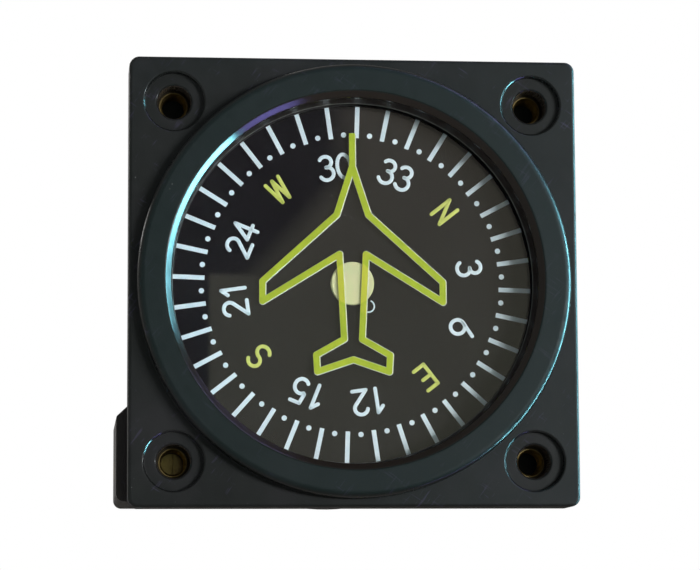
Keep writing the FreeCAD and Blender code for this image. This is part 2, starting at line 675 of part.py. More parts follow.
def frame_pillars():
    """Posts riveted into the plate, tapped at the rear for the bracket's screws."""
    posts = []
    for x, z in pillar_places():
        post = pin_aft(PILLAR_RADIUS, x, z, PLATE_REAR, BRACKET_FRONT)
        post = post.fuse(pin_aft(PILLAR_TENON_RADIUS, x, z, PLATE_FRONT, PLATE_REAR))
        hole_front = BRACKET_REAR - BRACKET_SCREW_LENGTH
        posts.append(post.cut(pin_aft(BRACKET_SCREW_RADIUS, x, z, hole_front, BRACKET_FRONT)))
    return Part.makeCompound(posts)


def frame_screws():
    shank = (BRACKET_SCREW_RADIUS, BRACKET_SCREW_LENGTH)
    head = (SMALL_HEAD_RADIUS, SMALL_HEAD_HEIGHT)
    return Part.makeCompound(
        [slotted_screw(Vector(x, BRACKET_REAR, z), AFT, shank, head) for x, z in pillar_places()])


def rotor_frame():
    """Bent bracket: an upright on the pillars and two arms with round ends about the rotor axis."""
    outer_bend = BRACKET_BEND_RADIUS + BRACKET_THICKNESS
    arm_end = ROTOR_Y + ARM_END_RADIUS
    side = [
        (BRACKET_FRONT, LOWER_ARM_UNDERSIDE, outer_bend),
        (arm_end, LOWER_ARM_UNDERSIDE, 0),
        (arm_end, LOWER_ARM_TOP, 0),
        (BRACKET_REAR, LOWER_ARM_TOP, BRACKET_BEND_RADIUS),
        (BRACKET_REAR, UPPER_ARM_HEIGHT, BRACKET_BEND_RADIUS),
        (arm_end, UPPER_ARM_HEIGHT, 0),
        (arm_end, UPPER_ARM_TOP, 0),
        (BRACKET_FRONT, UPPER_ARM_TOP, outer_bend),
    ]
    half = BRACKET_WIDTH / 2
    wire = rounded_wire([(Vector(-half, y, z), rounding) for y, z, rounding in side])
    strip = Part.Face(wire).extrude(RIGHT * BRACKET_WIDTH)
    taper_front = BRACKET_REAR + BRACKET_BEND_RADIUS
    plan_points = [
        (-half, BRACKET_FRONT), (half, BRACKET_FRONT), (half, taper_front),
        (ARM_END_RADIUS, ROTOR_Y), (-ARM_END_RADIUS, ROTOR_Y), (-half, taper_front),
    ]
    height = UPPER_ARM_TOP - LOWER_ARM_UNDERSIDE
    plan = rounded_wire([(Vector(x, y, LOWER_ARM_UNDERSIDE), 0) for x, y in plan_points])
    column = Part.Face(plan).extrude(UP * height)
    end_centre = Vector(0, ROTOR_Y, LOWER_ARM_UNDERSIDE)
    column = column.fuse(bar(ARM_END_RADIUS, end_centre, end_centre + UP * height))
    frame = strip.common(column)
    frame = frame.cut(bar(BUSH_RADIUS, AFT * BRACKET_FRONT, AFT * BRACKET_REAR))
    frame = frame.cut(bar(JEWEL_SCREW_RADIUS, end_centre, end_centre + UP * height))
    for x, z in pillar_places():
        frame = frame.cut(pin_aft(BRACKET_SCREW_RADIUS, x, z, BRACKET_FRONT, BRACKET_REAR))
    return frame.removeSplitter()


def shaft_bushes():
    """Two flanged bushes that carry the card shaft, one in the plate and one in the bracket."""
    bore = CARD_SHAFT_RADIUS + RUNNING_CLEARANCE
    bushes = []
    for front, rear, flange_front in (
            (PLATE_FRONT, PLATE_REAR, PLATE_REAR),
            (BRACKET_FRONT, BRACKET_REAR, BRACKET_FRONT - BUSH_FLANGE_THICKNESS)):
        body = annulus(bore, BUSH_RADIUS, front, rear)
        flange = annulus(bore, BUSH_FLANGE_RADIUS, flange_front, flange_front + BUSH_FLANGE_THICKNESS)
        bushes.append(body.fuse(flange).removeSplitter())
    return Part.makeCompound(bushes)


def rotor_shaft():
    """Vertical shaft with a conical pivot at each end."""
    bottom = LOWER_JEWEL_FACE - PIVOT_DEPTH
    top = UPPER_JEWEL_FACE + PIVOT_DEPTH
    return turned_upright([
        (0, bottom, 0),
        (PIVOT_TIP_RADIUS, bottom, 0),
        (ROTOR_SHAFT_RADIUS, bottom + PIVOT_LENGTH, 0),
        (ROTOR_SHAFT_RADIUS, top - PIVOT_LENGTH, 0),
        (PIVOT_TIP_RADIUS, top, 0),
        (0, top, 0),
    ])


def magnet_holder():
    """Flanged tube that fixes the magnet to the rotor shaft."""
    tube_bottom = MAGNET_BOTTOM - HOLDER_TAIL
    return turned_upright([
        (ROTOR_SHAFT_RADIUS, tube_bottom, 0),
        (HOLDER_TUBE_RADIUS, tube_bottom, 0),
        (HOLDER_TUBE_RADIUS, MAGNET_TOP, 0),
        (HOLDER_FLANGE_RADIUS, MAGNET_TOP, 0),
        (HOLDER_FLANGE_RADIUS, MAGNET_TOP + HOLDER_FLANGE_THICKNESS, 0),
        (ROTOR_SHAFT_RADIUS, MAGNET_TOP + HOLDER_FLANGE_THICKNESS, 0),
    ])


def rotor_magnet():
    return turned_upright([
        (HOLDER_TUBE_RADIUS, MAGNET_BOTTOM, 0),
        (MAGNET_RADIUS, MAGNET_BOTTOM, MAGNET_EDGE_ROUND),
        (MAGNET_RADIUS, MAGNET_TOP, MAGNET_EDGE_ROUND),
        (HOLDER_TUBE_RADIUS, MAGNET_TOP, 0),
    ])


def damping_cup():
    """Metal cup whose eddy currents damp the magnet."""
    rim = MAGNET_TOP + CUP_RIM_RISE
    return turned_upright([
        (JEWEL_SCREW_RADIUS, LOWER_ARM_TOP, 0),
        (CUP_RADIUS, LOWER_ARM_TOP, CUP_FLOOR_ROUND),
        (CUP_RADIUS, rim, 0),
        (CUP_INNER_RADIUS, rim, 0),
        (CUP_INNER_RADIUS, CUP_FLOOR, CUP_FLOOR_ROUND),
        (JEWEL_SCREW_RADIUS, CUP_FLOOR, 0),
    ])


def jewel_screw(face, tail, inward):
    """Slotted screw along the rotor axis with a pocket for its jewel at the inner face."""
    start = Vector(0, ROTOR_Y, tail)
    end = Vector(0, ROTOR_Y, face)
    body = bar(JEWEL_SCREW_RADIUS, start, end)
    body = body.cut(bar(JEWEL_RADIUS, end - inward * JEWEL_THICKNESS, end))
    slot_floor = start + inward * SLOT_DEPTH
    low = Vector(-JEWEL_SCREW_RADIUS, ROTOR_Y - SLOT_WIDTH / 2, min(start.z, slot_floor.z))
    high = Vector(JEWEL_SCREW_RADIUS, ROTOR_Y + SLOT_WIDTH / 2, max(start.z, slot_floor.z))
    return body.cut(box_between(low, high))


def lower_jewel_screw():
    return jewel_screw(LOWER_JEWEL_FACE, LOWER_SCREW_END, UP)


def upper_jewel_screw():
    tail = UPPER_ARM_TOP + NUT_THICKNESS + JEWEL_SCREW_TAIL
    return jewel_screw(UPPER_JEWEL_FACE, tail, DOWN)


def pivot_jewels():
    """Two cup jewels, one in each jewel screw."""
    jewels = []
    for face, inward in ((LOWER_JEWEL_FACE, 1), (UPPER_JEWEL_FACE, -1)):
        jewels.append(turned_upright([
            (0, face - inward * JEWEL_THICKNESS, 0),
            (JEWEL_RADIUS, face - inward * JEWEL_THICKNESS, 0),
            (JEWEL_RADIUS, face, 0),
            (JEWEL_CUP_RADIUS, face, 0),
            (JEWEL_CUP_FLOOR_RADIUS, face - inward * JEWEL_CUP_DEPTH, 0),
            (0, face - inward * JEWEL_CUP_DEPTH, 0),
        ]))
    return Part.makeCompound(jewels)


def jewel_lock_nuts():
    """Hexagon nuts that lock the jewel screws to the arms."""
    nuts = []
    corner_radius = NUT_ACROSS_FLATS / 2 / math.cos(math.pi / NUT_SIDES)
    for base in (UPPER_ARM_TOP, LOWER_ARM_UNDERSIDE - NUT_THICKNESS):
        corners = []
        for index in range(NUT_SIDES):
            angle = 2 * math.pi * index / NUT_SIDES
            place = Vector(corner_radius * math.cos(angle), ROTOR_Y + corner_radius * math.sin(angle), base)
            corners.append((place, 0))
        nut = Part.Face(rounded_wire(corners)).extrude(UP * NUT_THICKNESS)
        centre = Vector(0, ROTOR_Y, base)
        nuts.append(nut.cut(bar(JEWEL_SCREW_RADIUS, centre, centre + UP * NUT_THICKNESS)))
    return Part.makeCompound(nuts)


def case_screw_directions():
    """Outward directions of the radial screws round the drum."""
    directions = []
    for index in range(CASE_SCREW_COUNT):
        angle = 2 * math.pi * index / CASE_SCREW_COUNT
        directions.append(Vector(math.cos(angle), 0, math.sin(angle)))
    return directions


def case_drum():
    """Deep drawn cover over the movement, closed at the rear."""
    drum = turned([
        (DRUM_INNER_RADIUS, FLANGE_THICKNESS, 0),
        (DRUM_RADIUS, FLANGE_THICKNESS, 0),
        (DRUM_RADIUS, CASE_DEPTH, DRUM_REAR_ROUND),
        (0, CASE_DEPTH, 0),
        (0, CASE_DEPTH - DRUM_REAR_WALL, 0),
        (DRUM_INNER_RADIUS, CASE_DEPTH - DRUM_REAR_WALL, DRUM_REAR_ROUND / 2),
    ])
    for outward in case_screw_directions():
        screw_y = AFT * (FLANGE_THICKNESS + CASE_SCREW_DEPTH)
        start = screw_y + outward * (DRUM_INNER_RADIUS - CUT_OVERRUN)
        drum = drum.cut(bar(CASE_SCREW_RADIUS, start, start + outward * (DRUM_WALL + 2 * CUT_OVERRUN)))
    return drum


def case_screws():
    """Radial screws through the drum into the spigot."""
    screws = []
    shank = (CASE_SCREW_RADIUS, DRUM_WALL + DRUM_FIT + SPIGOT_WALL)
    head = (CASE_SCREW_HEAD_RADIUS, CASE_SCREW_HEAD_HEIGHT)
    for outward in case_screw_directions():
        seat = AFT * (FLANGE_THICKNESS + CASE_SCREW_DEPTH) + outward * DRUM_RADIUS
        screws.append(slotted_screw(seat, outward, shank, head))
    return Part.makeCompound(screws)


def drum_clearance(radius, front, rear):
    return bar(radius, AFT * front, AFT * rear)


def housing_outline():
    """Outer section of the compensator housing, with the sloped shoulder at its top left."""
    slope_start = -FLANGE_HALF + HOUSING_SLOPE_INSET
    return [
        (HOUSING_LEFT, HOUSING_BOTTOM, HOUSING_ROUND),
        (HOUSING_RIGHT, HOUSING_BOTTOM, HOUSING_ROUND),
        (HOUSING_RIGHT, HOUSING_TOP, 0),
        (slope_start, HOUSING_TOP, 0),
        (HOUSING_LEFT, HOUSING_TOP - HOUSING_SLOPE, HOUSING_ROUND / 2),
    ]


def pocket_block(gap, front, rear):
    """Inner space behind the bearing plate, less a gap on every side."""
    (upper_x, upper_z) = COVER_SCREWS[0]
    screw_reach = COVER_SCREW_RADIUS + COVER_SCREW_CLEARANCE + COVER_SCREW_WALL
    left = HOUSING_LEFT + HOUSING_WALL + gap
    bottom = HOUSING_BOTTOM + HOUSING_WALL + gap
    right = LUG_RIGHT + LUG_GAP - gap
    top = HOUSING_TOP - HOUSING_WALL - gap
    block = plate([
        (left, bottom, POCKET_ROUND),
        (right, bottom, POCKET_ROUND),
        (right, top, 0),
        (upper_x + screw_reach + gap, top, 0),
        (upper_x + screw_reach + gap, upper_z - screw_reach - gap, POCKET_ROUND),
        (left, upper_z - screw_reach - gap, POCKET_ROUND),
    ], front, rear)
    return block.cut(drum_clearance(HOUSING_CONCAVE_RADIUS + HOUSING_WALL + gap, front, rear))


def compensator_housing():
    """Moulded block behind the flange, hollowed against the drum, with two magnet chambers."""
    body = plate(housing_outline(), FLANGE_THICKNESS, COVER_FRONT)
    body = body.cut(drum_clearance(HOUSING_CONCAVE_RADIUS, FLANGE_THICKNESS, COVER_FRONT))
    place = -HOLE_OFFSET
    bearing = SPINDLE_JOURNAL_RADIUS + RUNNING_CLEARANCE
    body = body.cut(pin_aft(BOSS_RADIUS + HOUSING_BOSS_GAP, place, place, FLANGE_THICKNESS, BEARING_FRONT))
    body = body.cut(pin_aft(bearing, place, place, BEARING_FRONT, CHAMBER_FRONT))
    body = body.cut(pin_aft(CHAMBER_RADIUS, place, place, CHAMBER_FRONT, BEARING_PLATE_FRONT))
    body = body.cut(pocket_block(0, BEARING_PLATE_FRONT, COVER_FRONT))
    side_start = Vector(HOUSING_LEFT, NS_AXIS_Y, NS_AXIS_Z)
    body = body.cut(bar(bearing, side_start, side_start + RIGHT * (HOUSING_WALL + CUT_OVERRUN)))
    for x, z in COVER_SCREWS:
        hole = COVER_SCREW_RADIUS + COVER_SCREW_CLEARANCE
        body = body.cut(pin_aft(hole, x, z, FLANGE_THICKNESS, COVER_FRONT))
    return body.removeSplitter()


def compensator_bearing_plate():
    """Bent plate: its face carries the fore-and-aft spindle and its lug the side spindle."""
    body = pocket_block(BEARING_PLATE_FIT, BEARING_PLATE_FRONT, BEARING_PLATE_REAR)
    tail_hole = SPINDLE_TAIL_RADIUS + RUNNING_CLEARANCE
    place = -HOLE_OFFSET
    body = body.cut(pin_aft(tail_hole, place, place, BEARING_PLATE_FRONT, BEARING_PLATE_REAR))
    lug_half = SPINDLE_TAIL_RADIUS + LUG_WALL
    lug = box_between(
        Vector(LUG_LEFT, BEARING_PLATE_FRONT, NS_AXIS_Z - lug_half),
        Vector(LUG_RIGHT, COVER_LIP_FRONT, NS_AXIS_Z + lug_half))
    lug = lug.cut(bar(
        tail_hole,
        Vector(LUG_LEFT, NS_AXIS_Y, NS_AXIS_Z),
        Vector(LUG_RIGHT, NS_AXIS_Y, NS_AXIS_Z)))
    return body.fuse(lug).removeSplitter()


def compensator_cover():
    """Rear lid of the housing, with a locating lip."""
    body = plate(housing_outline(), COVER_FRONT, COVER_REAR)
    body = body.cut(drum_clearance(HOUSING_CONCAVE_RADIUS, COVER_FRONT, COVER_REAR))
    body = body.fuse(pocket_block(COVER_LIP_FIT, COVER_LIP_FRONT, COVER_FRONT))
    for x, z in COVER_SCREWS:
        hole = COVER_SCREW_RADIUS + COVER_SCREW_CLEARANCE
        body = body.cut(pin_aft(hole, x, z, COVER_FRONT, COVER_REAR))
    return body.removeSplitter()


def compensator_screws():
    """Long screws through the cover and housing into the flange."""
    shank = (COVER_SCREW_RADIUS, COVER_REAR - FLANGE_THICKNESS + COVER_SCREW_BITE)
    head = (COVER_SCREW_HEAD_RADIUS, COVER_SCREW_HEAD_HEIGHT)
    return Part.makeCompound(
        [slotted_screw(Vector(x, COVER_REAR, z), AFT, shank, head) for x, z in COVER_SCREWS])


def spindle(start, inward, journal, barrel):
    """Slotted compensator spindle from its outer end: journal and barrel are lengths."""
    journal_end = start + inward * journal
    collar_end = journal_end + inward * SPINDLE_COLLAR_THICKNESS
    barrel_end = collar_end + inward * barrel
    tail_end = barrel_end + inward * SPINDLE_TAIL_LENGTH
    body = bar(SPINDLE_JOURNAL_RADIUS, start, journal_end)
    body = body.fuse(bar(SPINDLE_COLLAR_RADIUS, journal_end, collar_end))
    body = body.fuse(bar(SPINDLE_BARREL_RADIUS, collar_end, barrel_end))
    body = body.fuse(bar(SPINDLE_TAIL_RADIUS, barrel_end, tail_end))
    slot_half = (UP + RIGHT + AFT) * (SLOT_WIDTH / 2)
    slot_reach = UP if inward.x else LEFT.cross(inward)
    reach = slot_reach * (2 * SPINDLE_JOURNAL_RADIUS)
    low = start - slot_half - reach
    high = start + slot_half + reach
    slot = box_between(
        Vector(min(low.x, high.x), min(low.y, high.y), min(low.z, high.z)),
        Vector(max(low.x, high.x), max(low.y, high.y), max(low.z, high.z)))
    slot.translate(inward * (SLOT_DEPTH - SLOT_WIDTH / 2))
    magnet_centre = collar_end + inward * (barrel / 2)
    hole_reach = slot_reach * SPINDLE_COLLAR_RADIUS
    hole = bar(ROD_MAGNET_RADIUS, magnet_centre - hole_reach, magnet_centre + hole_reach)
    return body.cut(slot).cut(hole).removeSplitter()


def rod_magnet(centre, along):
    reach = along * (ROD_MAGNET_LENGTH / 2)
    return bar(ROD_MAGNET_RADIUS, centre - reach, centre + reach)


def ew_spindle():
    """Fore-and-aft spindle, its slotted end behind the lower left mounting hole."""
    start = Vector(-HOLE_OFFSET, BEARING_FRONT, -HOLE_OFFSET)
    return spindle(start, AFT, EW_COLLAR_FRONT - BEARING_FRONT, EW_BARREL_LENGTH)


def ew_magnet():
    centre = Vector(-HOLE_OFFSET, EW_BARREL_FRONT + EW_BARREL_LENGTH / 2, -HOLE_OFFSET)
    return rod_magnet(centre, LEFT.cross(AFT))


def ns_barrel_left():
    return HOUSING_LEFT + HOUSING_WALL + END_PLAY + SPINDLE_COLLAR_THICKNESS


def ns_barrel_length():
    return LUG_LEFT - END_PLAY - ns_barrel_left()


def ns_spindle():
    """Side spindle, its slotted end flush with the left face of the housing."""
    start = Vector(HOUSING_LEFT, NS_AXIS_Y, NS_AXIS_Z)
    return spindle(start, RIGHT, HOUSING_WALL + END_PLAY, ns_barrel_length())


def ns_magnet():
    centre = Vector(ns_barrel_left() + ns_barrel_length() / 2, NS_AXIS_Y, NS_AXIS_Z)
    return rod_magnet(centre, UP)


PIECES = [
    bezel,
    mounting_inserts,
    window_gasket,
    window_glass,
    aircraft_symbol,
    window_spacer_ring,
    azimuth_card,
    card_graduations,
    card_hub,
    card_shaft,
    card_gear,
    movement_plate,
    retaining_ring,
    frame_pillars,
    frame_screws,
    rotor_frame,
    shaft_bushes,
    rotor_shaft,
    rotor_gear,
    magnet_holder,
    rotor_magnet,
    damping_cup,
    lower_jewel_screw,
    upper_jewel_screw,
    pivot_jewels,
    jewel_lock_nuts,
    case_drum,
    case_screws,
    compensator_housing,
    compensator_bearing_plate,
    compensator_cover,
    compensator_screws,
    ew_spindle,
    ew_magnet,
    ns_spindle,
    ns_magnet,
]

os.makedirs("parts", exist_ok=True)
for piece in PIECES:
    shape = piece()
    shape.exportStep("parts/" + piece.__name__ + ".step")
    print(piece.__name__, len(shape.Solids), "solid(s)", round(shape.Volume, 2), "mm3", shape.isValid())
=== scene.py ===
import math

import bpy
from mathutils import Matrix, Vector


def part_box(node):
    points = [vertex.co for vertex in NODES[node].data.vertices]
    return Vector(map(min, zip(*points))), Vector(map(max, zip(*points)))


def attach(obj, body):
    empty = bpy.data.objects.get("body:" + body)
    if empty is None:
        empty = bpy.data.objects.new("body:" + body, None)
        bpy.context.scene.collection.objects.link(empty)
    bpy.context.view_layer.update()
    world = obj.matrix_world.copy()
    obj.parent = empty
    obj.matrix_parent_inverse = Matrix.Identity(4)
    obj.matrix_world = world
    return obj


# Looks of a panel-mounted vertical card compass. Metres, seen from the front along +Y.

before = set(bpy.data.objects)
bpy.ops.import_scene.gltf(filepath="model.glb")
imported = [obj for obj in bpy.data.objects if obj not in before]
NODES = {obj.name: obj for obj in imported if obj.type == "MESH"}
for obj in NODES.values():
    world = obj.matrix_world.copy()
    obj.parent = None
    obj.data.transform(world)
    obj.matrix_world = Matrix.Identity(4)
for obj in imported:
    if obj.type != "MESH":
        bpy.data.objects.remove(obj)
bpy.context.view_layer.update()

MM = 0.001

# Places taken from the solids
FLOOR_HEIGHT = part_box("bezel")[0][2]
RING_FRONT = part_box("bezel")[0][1]
GLASS_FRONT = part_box("window_glass")[0][1]
FIGURE_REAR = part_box("aircraft_symbol")[1][1]
CARD_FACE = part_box("azimuth_card")[0][1]
HUB_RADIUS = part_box("card_hub")[1][0]
INSERT_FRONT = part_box("mounting_inserts")[0][1]
INSERT_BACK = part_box("mounting_inserts")[1][1]
INSERT_RADIUS = 2.7 * MM
INSERT_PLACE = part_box("mounting_inserts")[1][0] - INSERT_RADIUS

# Sizes of the bezel that its wear, painted shade and painted light follow
RING_RADIUS = 28.4 * MM
CHAMFER_RADIUS = 24.8 * MM
COUNTERBORE_RADIUS = 3.85 * MM
SCREW_HOLE_RADIUS = 2.2 * MM
SCREW_HOLE_END = 5.0 * MM

# Characters printed on the card, in millimetres
CHARACTER_CIRCLE = 15.7
CHARACTER_STROKE = 0.5
DIGIT_ADVANCE = 2.36
CHARACTER_HEIGHT = 0.04 * MM
NORTH_ANGLE = 51.99

# Painted light along the aircraft figure's edges and thin lines on the card, in millimetres
EDGE_LIGHT_STROKE = 0.96
EDGE_LIGHT_SLIP = (0.05, -0.03)
CRESCENT_STROKE = 0.2
THIN_LAYER = 0.02 * MM

# Rounding of a stroke's ends: the half width shrinks over this many steps
END_STEPS = 5
END_ROUNDING = 5.2


# Small helpers for node materials
def new_material(name):
    material = bpy.data.materials.new(name)
    material.use_nodes = True
    tree = material.node_tree
    return material, tree, tree.nodes["Principled BSDF"]


def add_node(tree, kind, **settings):
    node = tree.nodes.new(kind)
    for key, value in settings.items():
        setattr(node, key, value)
    return node


def object_place(tree, stretch=(1, 1, 1), turn=(0, 0, 0)):
    """Rest coordinates of the surface in metres, stretched and turned."""
    source = add_node(tree, "ShaderNodeTexCoord")
    mapping = add_node(tree, "ShaderNodeMapping")
    mapping.inputs["Scale"].default_value = stretch
    mapping.inputs["Rotation"].default_value = turn
    tree.links.new(source.outputs["Object"], mapping.inputs["Vector"])
    return mapping.outputs["Vector"]


def noise(tree, place, scale, detail=4.0, roughness=0.55):
    node = add_node(tree, "ShaderNodeTexNoise")
    node.inputs["Scale"].default_value = scale
    node.inputs["Detail"].default_value = detail
    node.inputs["Roughness"].default_value = roughness
    tree.links.new(place, node.inputs["Vector"])
    return node.outputs["Fac"]


def spread(tree, value, low, high, to_low=0.0, to_high=1.0):
    """Value between two limits, stretched to a new range and clamped."""
    node = add_node(tree, "ShaderNodeMapRange", clamp=True)
    node.inputs["From Min"].default_value = low
    node.inputs["From Max"].default_value = high
    node.inputs["To Min"].default_value = to_low
    node.inputs["To Max"].default_value = to_high
    tree.links.new(value, node.inputs["Value"])
    return node.outputs["Result"]


def maths(tree, operation, first, second):
    node = add_node(tree, "ShaderNodeMath", operation=operation)
    for socket, value in zip(node.inputs, (first, second)):
        if isinstance(value, (int, float)):
            socket.default_value = value
        else:
            tree.links.new(value, socket)
    return node.outputs["Value"]


def times(tree, first, second):
    return maths(tree, "MULTIPLY", first, second)


def blend(tree, amount, first, second):
    """Colour between two others, each a socket or an (r, g, b)."""
    node = add_node(tree, "ShaderNodeMix", data_type="RGBA")
    tree.links.new(amount, node.inputs["Factor"])
    for socket, value in ((node.inputs[6], first), (node.inputs[7], second)):
        if isinstance(value, tuple):
            socket.default_value = (*value, 1.0)
        else:
            tree.links.new(value, socket)
    return node.outputs[2]


def mottled(tree, pattern, first, second, low=0.35, high=0.65):
    """Colour that drifts between two tones with a pattern."""
    return blend(tree, spread(tree, pattern, low, high), first, second)


def uneven(tree, pattern, low, high):
    """Roughness that drifts between two levels with a pattern."""
    return spread(tree, pattern, 0.3, 0.7, low, high)


def bump(tree, height, distance, strength=1.0, below=None):
    node = add_node(tree, "ShaderNodeBump")
    node.inputs["Strength"].default_value = strength
    node.inputs["Distance"].default_value = distance
    tree.links.new(height, node.inputs["Height"])
    if below is not None:
        tree.links.new(below, node.inputs["Normal"])
    return node.outputs["Normal"]


def specks(tree, place, cells, size, share):
    """Scattered round specks: one in each chosen cell of a cellular pattern."""
    node = add_node(tree, "ShaderNodeTexVoronoi", feature="F1")
    node.inputs["Scale"].default_value = cells
    tree.links.new(place, node.inputs["Vector"])
    near = spread(tree, node.outputs["Distance"], size, size * 0.6)
    split = add_node(tree, "ShaderNodeSeparateColor")
    tree.links.new(node.outputs["Color"], split.inputs["Color"])
    chosen = spread(tree, split.outputs["Red"], 1 - share, 1 - share + 0.02)
    return times(tree, near, chosen)


def scratches(tree, turn, long_way, across, threshold):
    """Short faint lines in one direction of the face."""
    stretched = add_node(tree, "ShaderNodeMapping")
    stretched.inputs["Scale"].default_value = (long_way, long_way, across)
    tree.links.new(object_place(tree, turn=(0, turn, 0)), stretched.inputs["Vector"])
    lines = noise(tree, stretched.outputs["Vector"], 1.0, 2.0, 0.5)
    patches = noise(tree, object_place(tree), 260.0, 2.0)
    line = spread(tree, lines, threshold, threshold + 0.03)
    return times(tree, line, spread(tree, patches, 0.55, 0.65))


def radius_from_axis(tree):
    """Distance of the surface from the instrument's long axis, and its depth."""
    split = add_node(tree, "ShaderNodeSeparateXYZ")
    tree.links.new(object_place(tree), split.inputs["Vector"])
    across = times(tree, split.outputs["X"], split.outputs["X"])
    upward = times(tree, split.outputs["Z"], split.outputs["Z"])
    return maths(tree, "SQRT", maths(tree, "ADD", across, upward), 0.0), split.outputs["Y"]


def radius_from_holes(tree):
    """Distance of the surface from the nearest mounting hole's axis."""
    split = add_node(tree, "ShaderNodeSeparateXYZ")
    tree.links.new(object_place(tree), split.inputs["Vector"])
    squares = []
    for side in ("X", "Z"):
        away = maths(tree, "ABSOLUTE", split.outputs[side], 0.0)
        away = maths(tree, "SUBTRACT", away, INSERT_PLACE)
        squares.append(times(tree, away, away))
    return maths(tree, "SQRT", maths(tree, "ADD", *squares), 0.0)


def band(tree, value, low, high, edge):
    """One between two values, fading to nothing over an edge on both sides."""
    rising = spread(tree, value, low - edge, low)
    falling = spread(tree, value, high + edge, high)
    return times(tree, rising, falling)


def set_surface(tree, shader, colour, rough, normal):
    for name, socket in (("Base Color", colour), ("Roughness", rough), ("Normal", normal)):
        tree.links.new(socket, shader.inputs[name])


def assign(material, *names):
    for name in names:
        slots = NODES[name].data.materials
        slots.clear()
        slots.append(material)


# Plastics, paints and rubber
SCRATCH_TONE = (0.045, 0.04, 0.07)
FINE_DUST_TONE = (0.11, 0.12, 0.12)
DUST_TONE = (0.3, 0.31, 0.31)
PLASTIC_GRAIN = 5200.0
SOFT_EDGE = 0.28 * MM


def moulded_plastic(name, dark, light, relief, gloss, rubbed=None):
    """Black moulded plastic: fine grain, uneven sheen, dust and faint scratches."""
    material, tree, shader = new_material(name)
    place = object_place(tree)
    cloud = noise(tree, place, 140.0, 5.0)
    colour = mottled(tree, cloud, dark, light)
    dust = specks(tree, place, 420.0, 0.05, 0.2)
    fine_dust = specks(tree, place, 1500.0, 0.1, 0.1)
    rising = scratches(tree, 0.9, 260.0, 3600.0, 0.6)
    falling = scratches(tree, -0.6, 220.0, 3200.0, 0.62)
    marks = maths(tree, "ADD", rising, falling)
    colour = blend(tree, times(tree, marks, 0.7), colour, SCRATCH_TONE)
    colour = blend(tree, times(tree, fine_dust, 0.4), colour, FINE_DUST_TONE)
    colour = blend(tree, times(tree, dust, 0.75), colour, DUST_TONE)
    rough = uneven(tree, noise(tree, place, 700.0, 3.0), *gloss)
    texture = noise(tree, place, PLASTIC_GRAIN, 2.0)
    if rubbed is not None:
        smooth = rubbed(tree)
        rough = times(tree, rough, spread(tree, smooth, 0.0, 1.0, 1.0, 0.36))
        texture = times(tree, texture, spread(tree, smooth, 0.0, 1.0, 1.0, 0.15))
    edges = add_node(tree, "ShaderNodeBevel", samples=4)
    edges.inputs["Radius"].default_value = SOFT_EDGE
    grain = bump(tree, texture, relief, 0.5, edges.outputs["Normal"])
    set_surface(tree, shader, colour, rough, bump(tree, cloud, 0.06 * MM, 0.35, grain))
    return material, tree, shader


def rubbed_edges(tree):
    """One on the ring's two front edges and on the rims of the mounting holes."""
    radius, depth = radius_from_axis(tree)
    inner = spread(tree, radius, CHAMFER_RADIUS + 0.3 * MM, CHAMFER_RADIUS)
    inner = times(tree, spread(tree, depth, -1.2 * MM, -1.8 * MM), inner)
    outer = spread(tree, radius, RING_RADIUS - 0.48 * MM, RING_RADIUS - 0.32 * MM)
    outer = times(tree, spread(tree, depth, -0.8 * MM, -1.2 * MM, 0.0, 0.55), outer)
    hole = radius_from_holes(tree)
    rims = [band(tree, hole, edge + 0.01 * MM, edge + 0.19 * MM, 0.03 * MM)
            for edge in (COUNTERBORE_RADIUS, SCREW_HOLE_RADIUS)]
    return maths(tree, "ADD", maths(tree, "ADD", inner, outer), maths(tree, "ADD", *rims))


def bezel_plastic():
    """Grained black plastic, a little greener on the ring, with rubbed edges, painted shade on the aperture
    wall and painted light in the screw holes.
    """
    material, tree, shader = moulded_plastic(
        "bezel_plastic", (0.0096, 0.0112, 0.0106), (0.014, 0.0158, 0.0148),
        0.018 * MM, (0.4, 0.52), rubbed_edges)
    shader.inputs["Specular IOR Level"].default_value = 0.25
    shader.inputs["Specular Tint"].default_value = (0.92, 1.0, 1.0, 1.0)
    radius, depth = radius_from_axis(tree)
    body = shader.inputs["Base Color"].links[0].from_socket
    haze = spread(tree, noise(tree, object_place(tree), 75.0, 4.0), 0.48, 0.66, 0.0, 0.4)
    body = blend(tree, haze, body, (0.026, 0.0235, 0.027))
    on_ring = spread(tree, depth, RING_FRONT + 0.35 * MM, RING_FRONT + 0.05 * MM, 0.0, 0.6)
    body = blend(tree, on_ring, body, (0.006, 0.017, 0.0165))
    # Painted shade: the ring's inner chamfer and the aperture wall take the warm dark brown of a wall in
    # shade
    aperture_painted_shade = spread(tree, radius, CHAMFER_RADIUS + 0.1 * MM, CHAMFER_RADIUS - 0.1 * MM)
    body = blend(tree, aperture_painted_shade, body, (0.019, 0.0145, 0.012))
    # Painted light: the screw holes' walls are lightened to a hazy brown, as if light reached into them
    hole_painted_light = spread(
        tree, radius_from_holes(tree), SCREW_HOLE_RADIUS + 0.06 * MM, SCREW_HOLE_RADIUS + 0.02 * MM)
    hole_painted_light = times(tree, hole_painted_light, spread(tree, depth, SCREW_HOLE_END, SCREW_HOLE_END - 0.2 * MM))
    body = blend(tree, hole_painted_light, body, (0.05, 0.042, 0.035))
    tree.links.new(body, shader.inputs["Base Color"])
    return material


def soft_black(name, colour, lighter, rough):
    """Rubber and matte black finishes with a slight dusty bloom."""
    material, tree, shader = new_material(name)
    place = object_place(tree)
    cloud = noise(tree, place, 420.0, 5.0)
    set_surface(
        tree, shader, mottled(tree, cloud, colour, lighter, 0.4, 0.7),
        uneven(tree, cloud, rough - 0.06, rough + 0.08),
        bump(tree, noise(tree, place, 6500.0, 2.0), 0.01 * MM, 0.5))
    return material


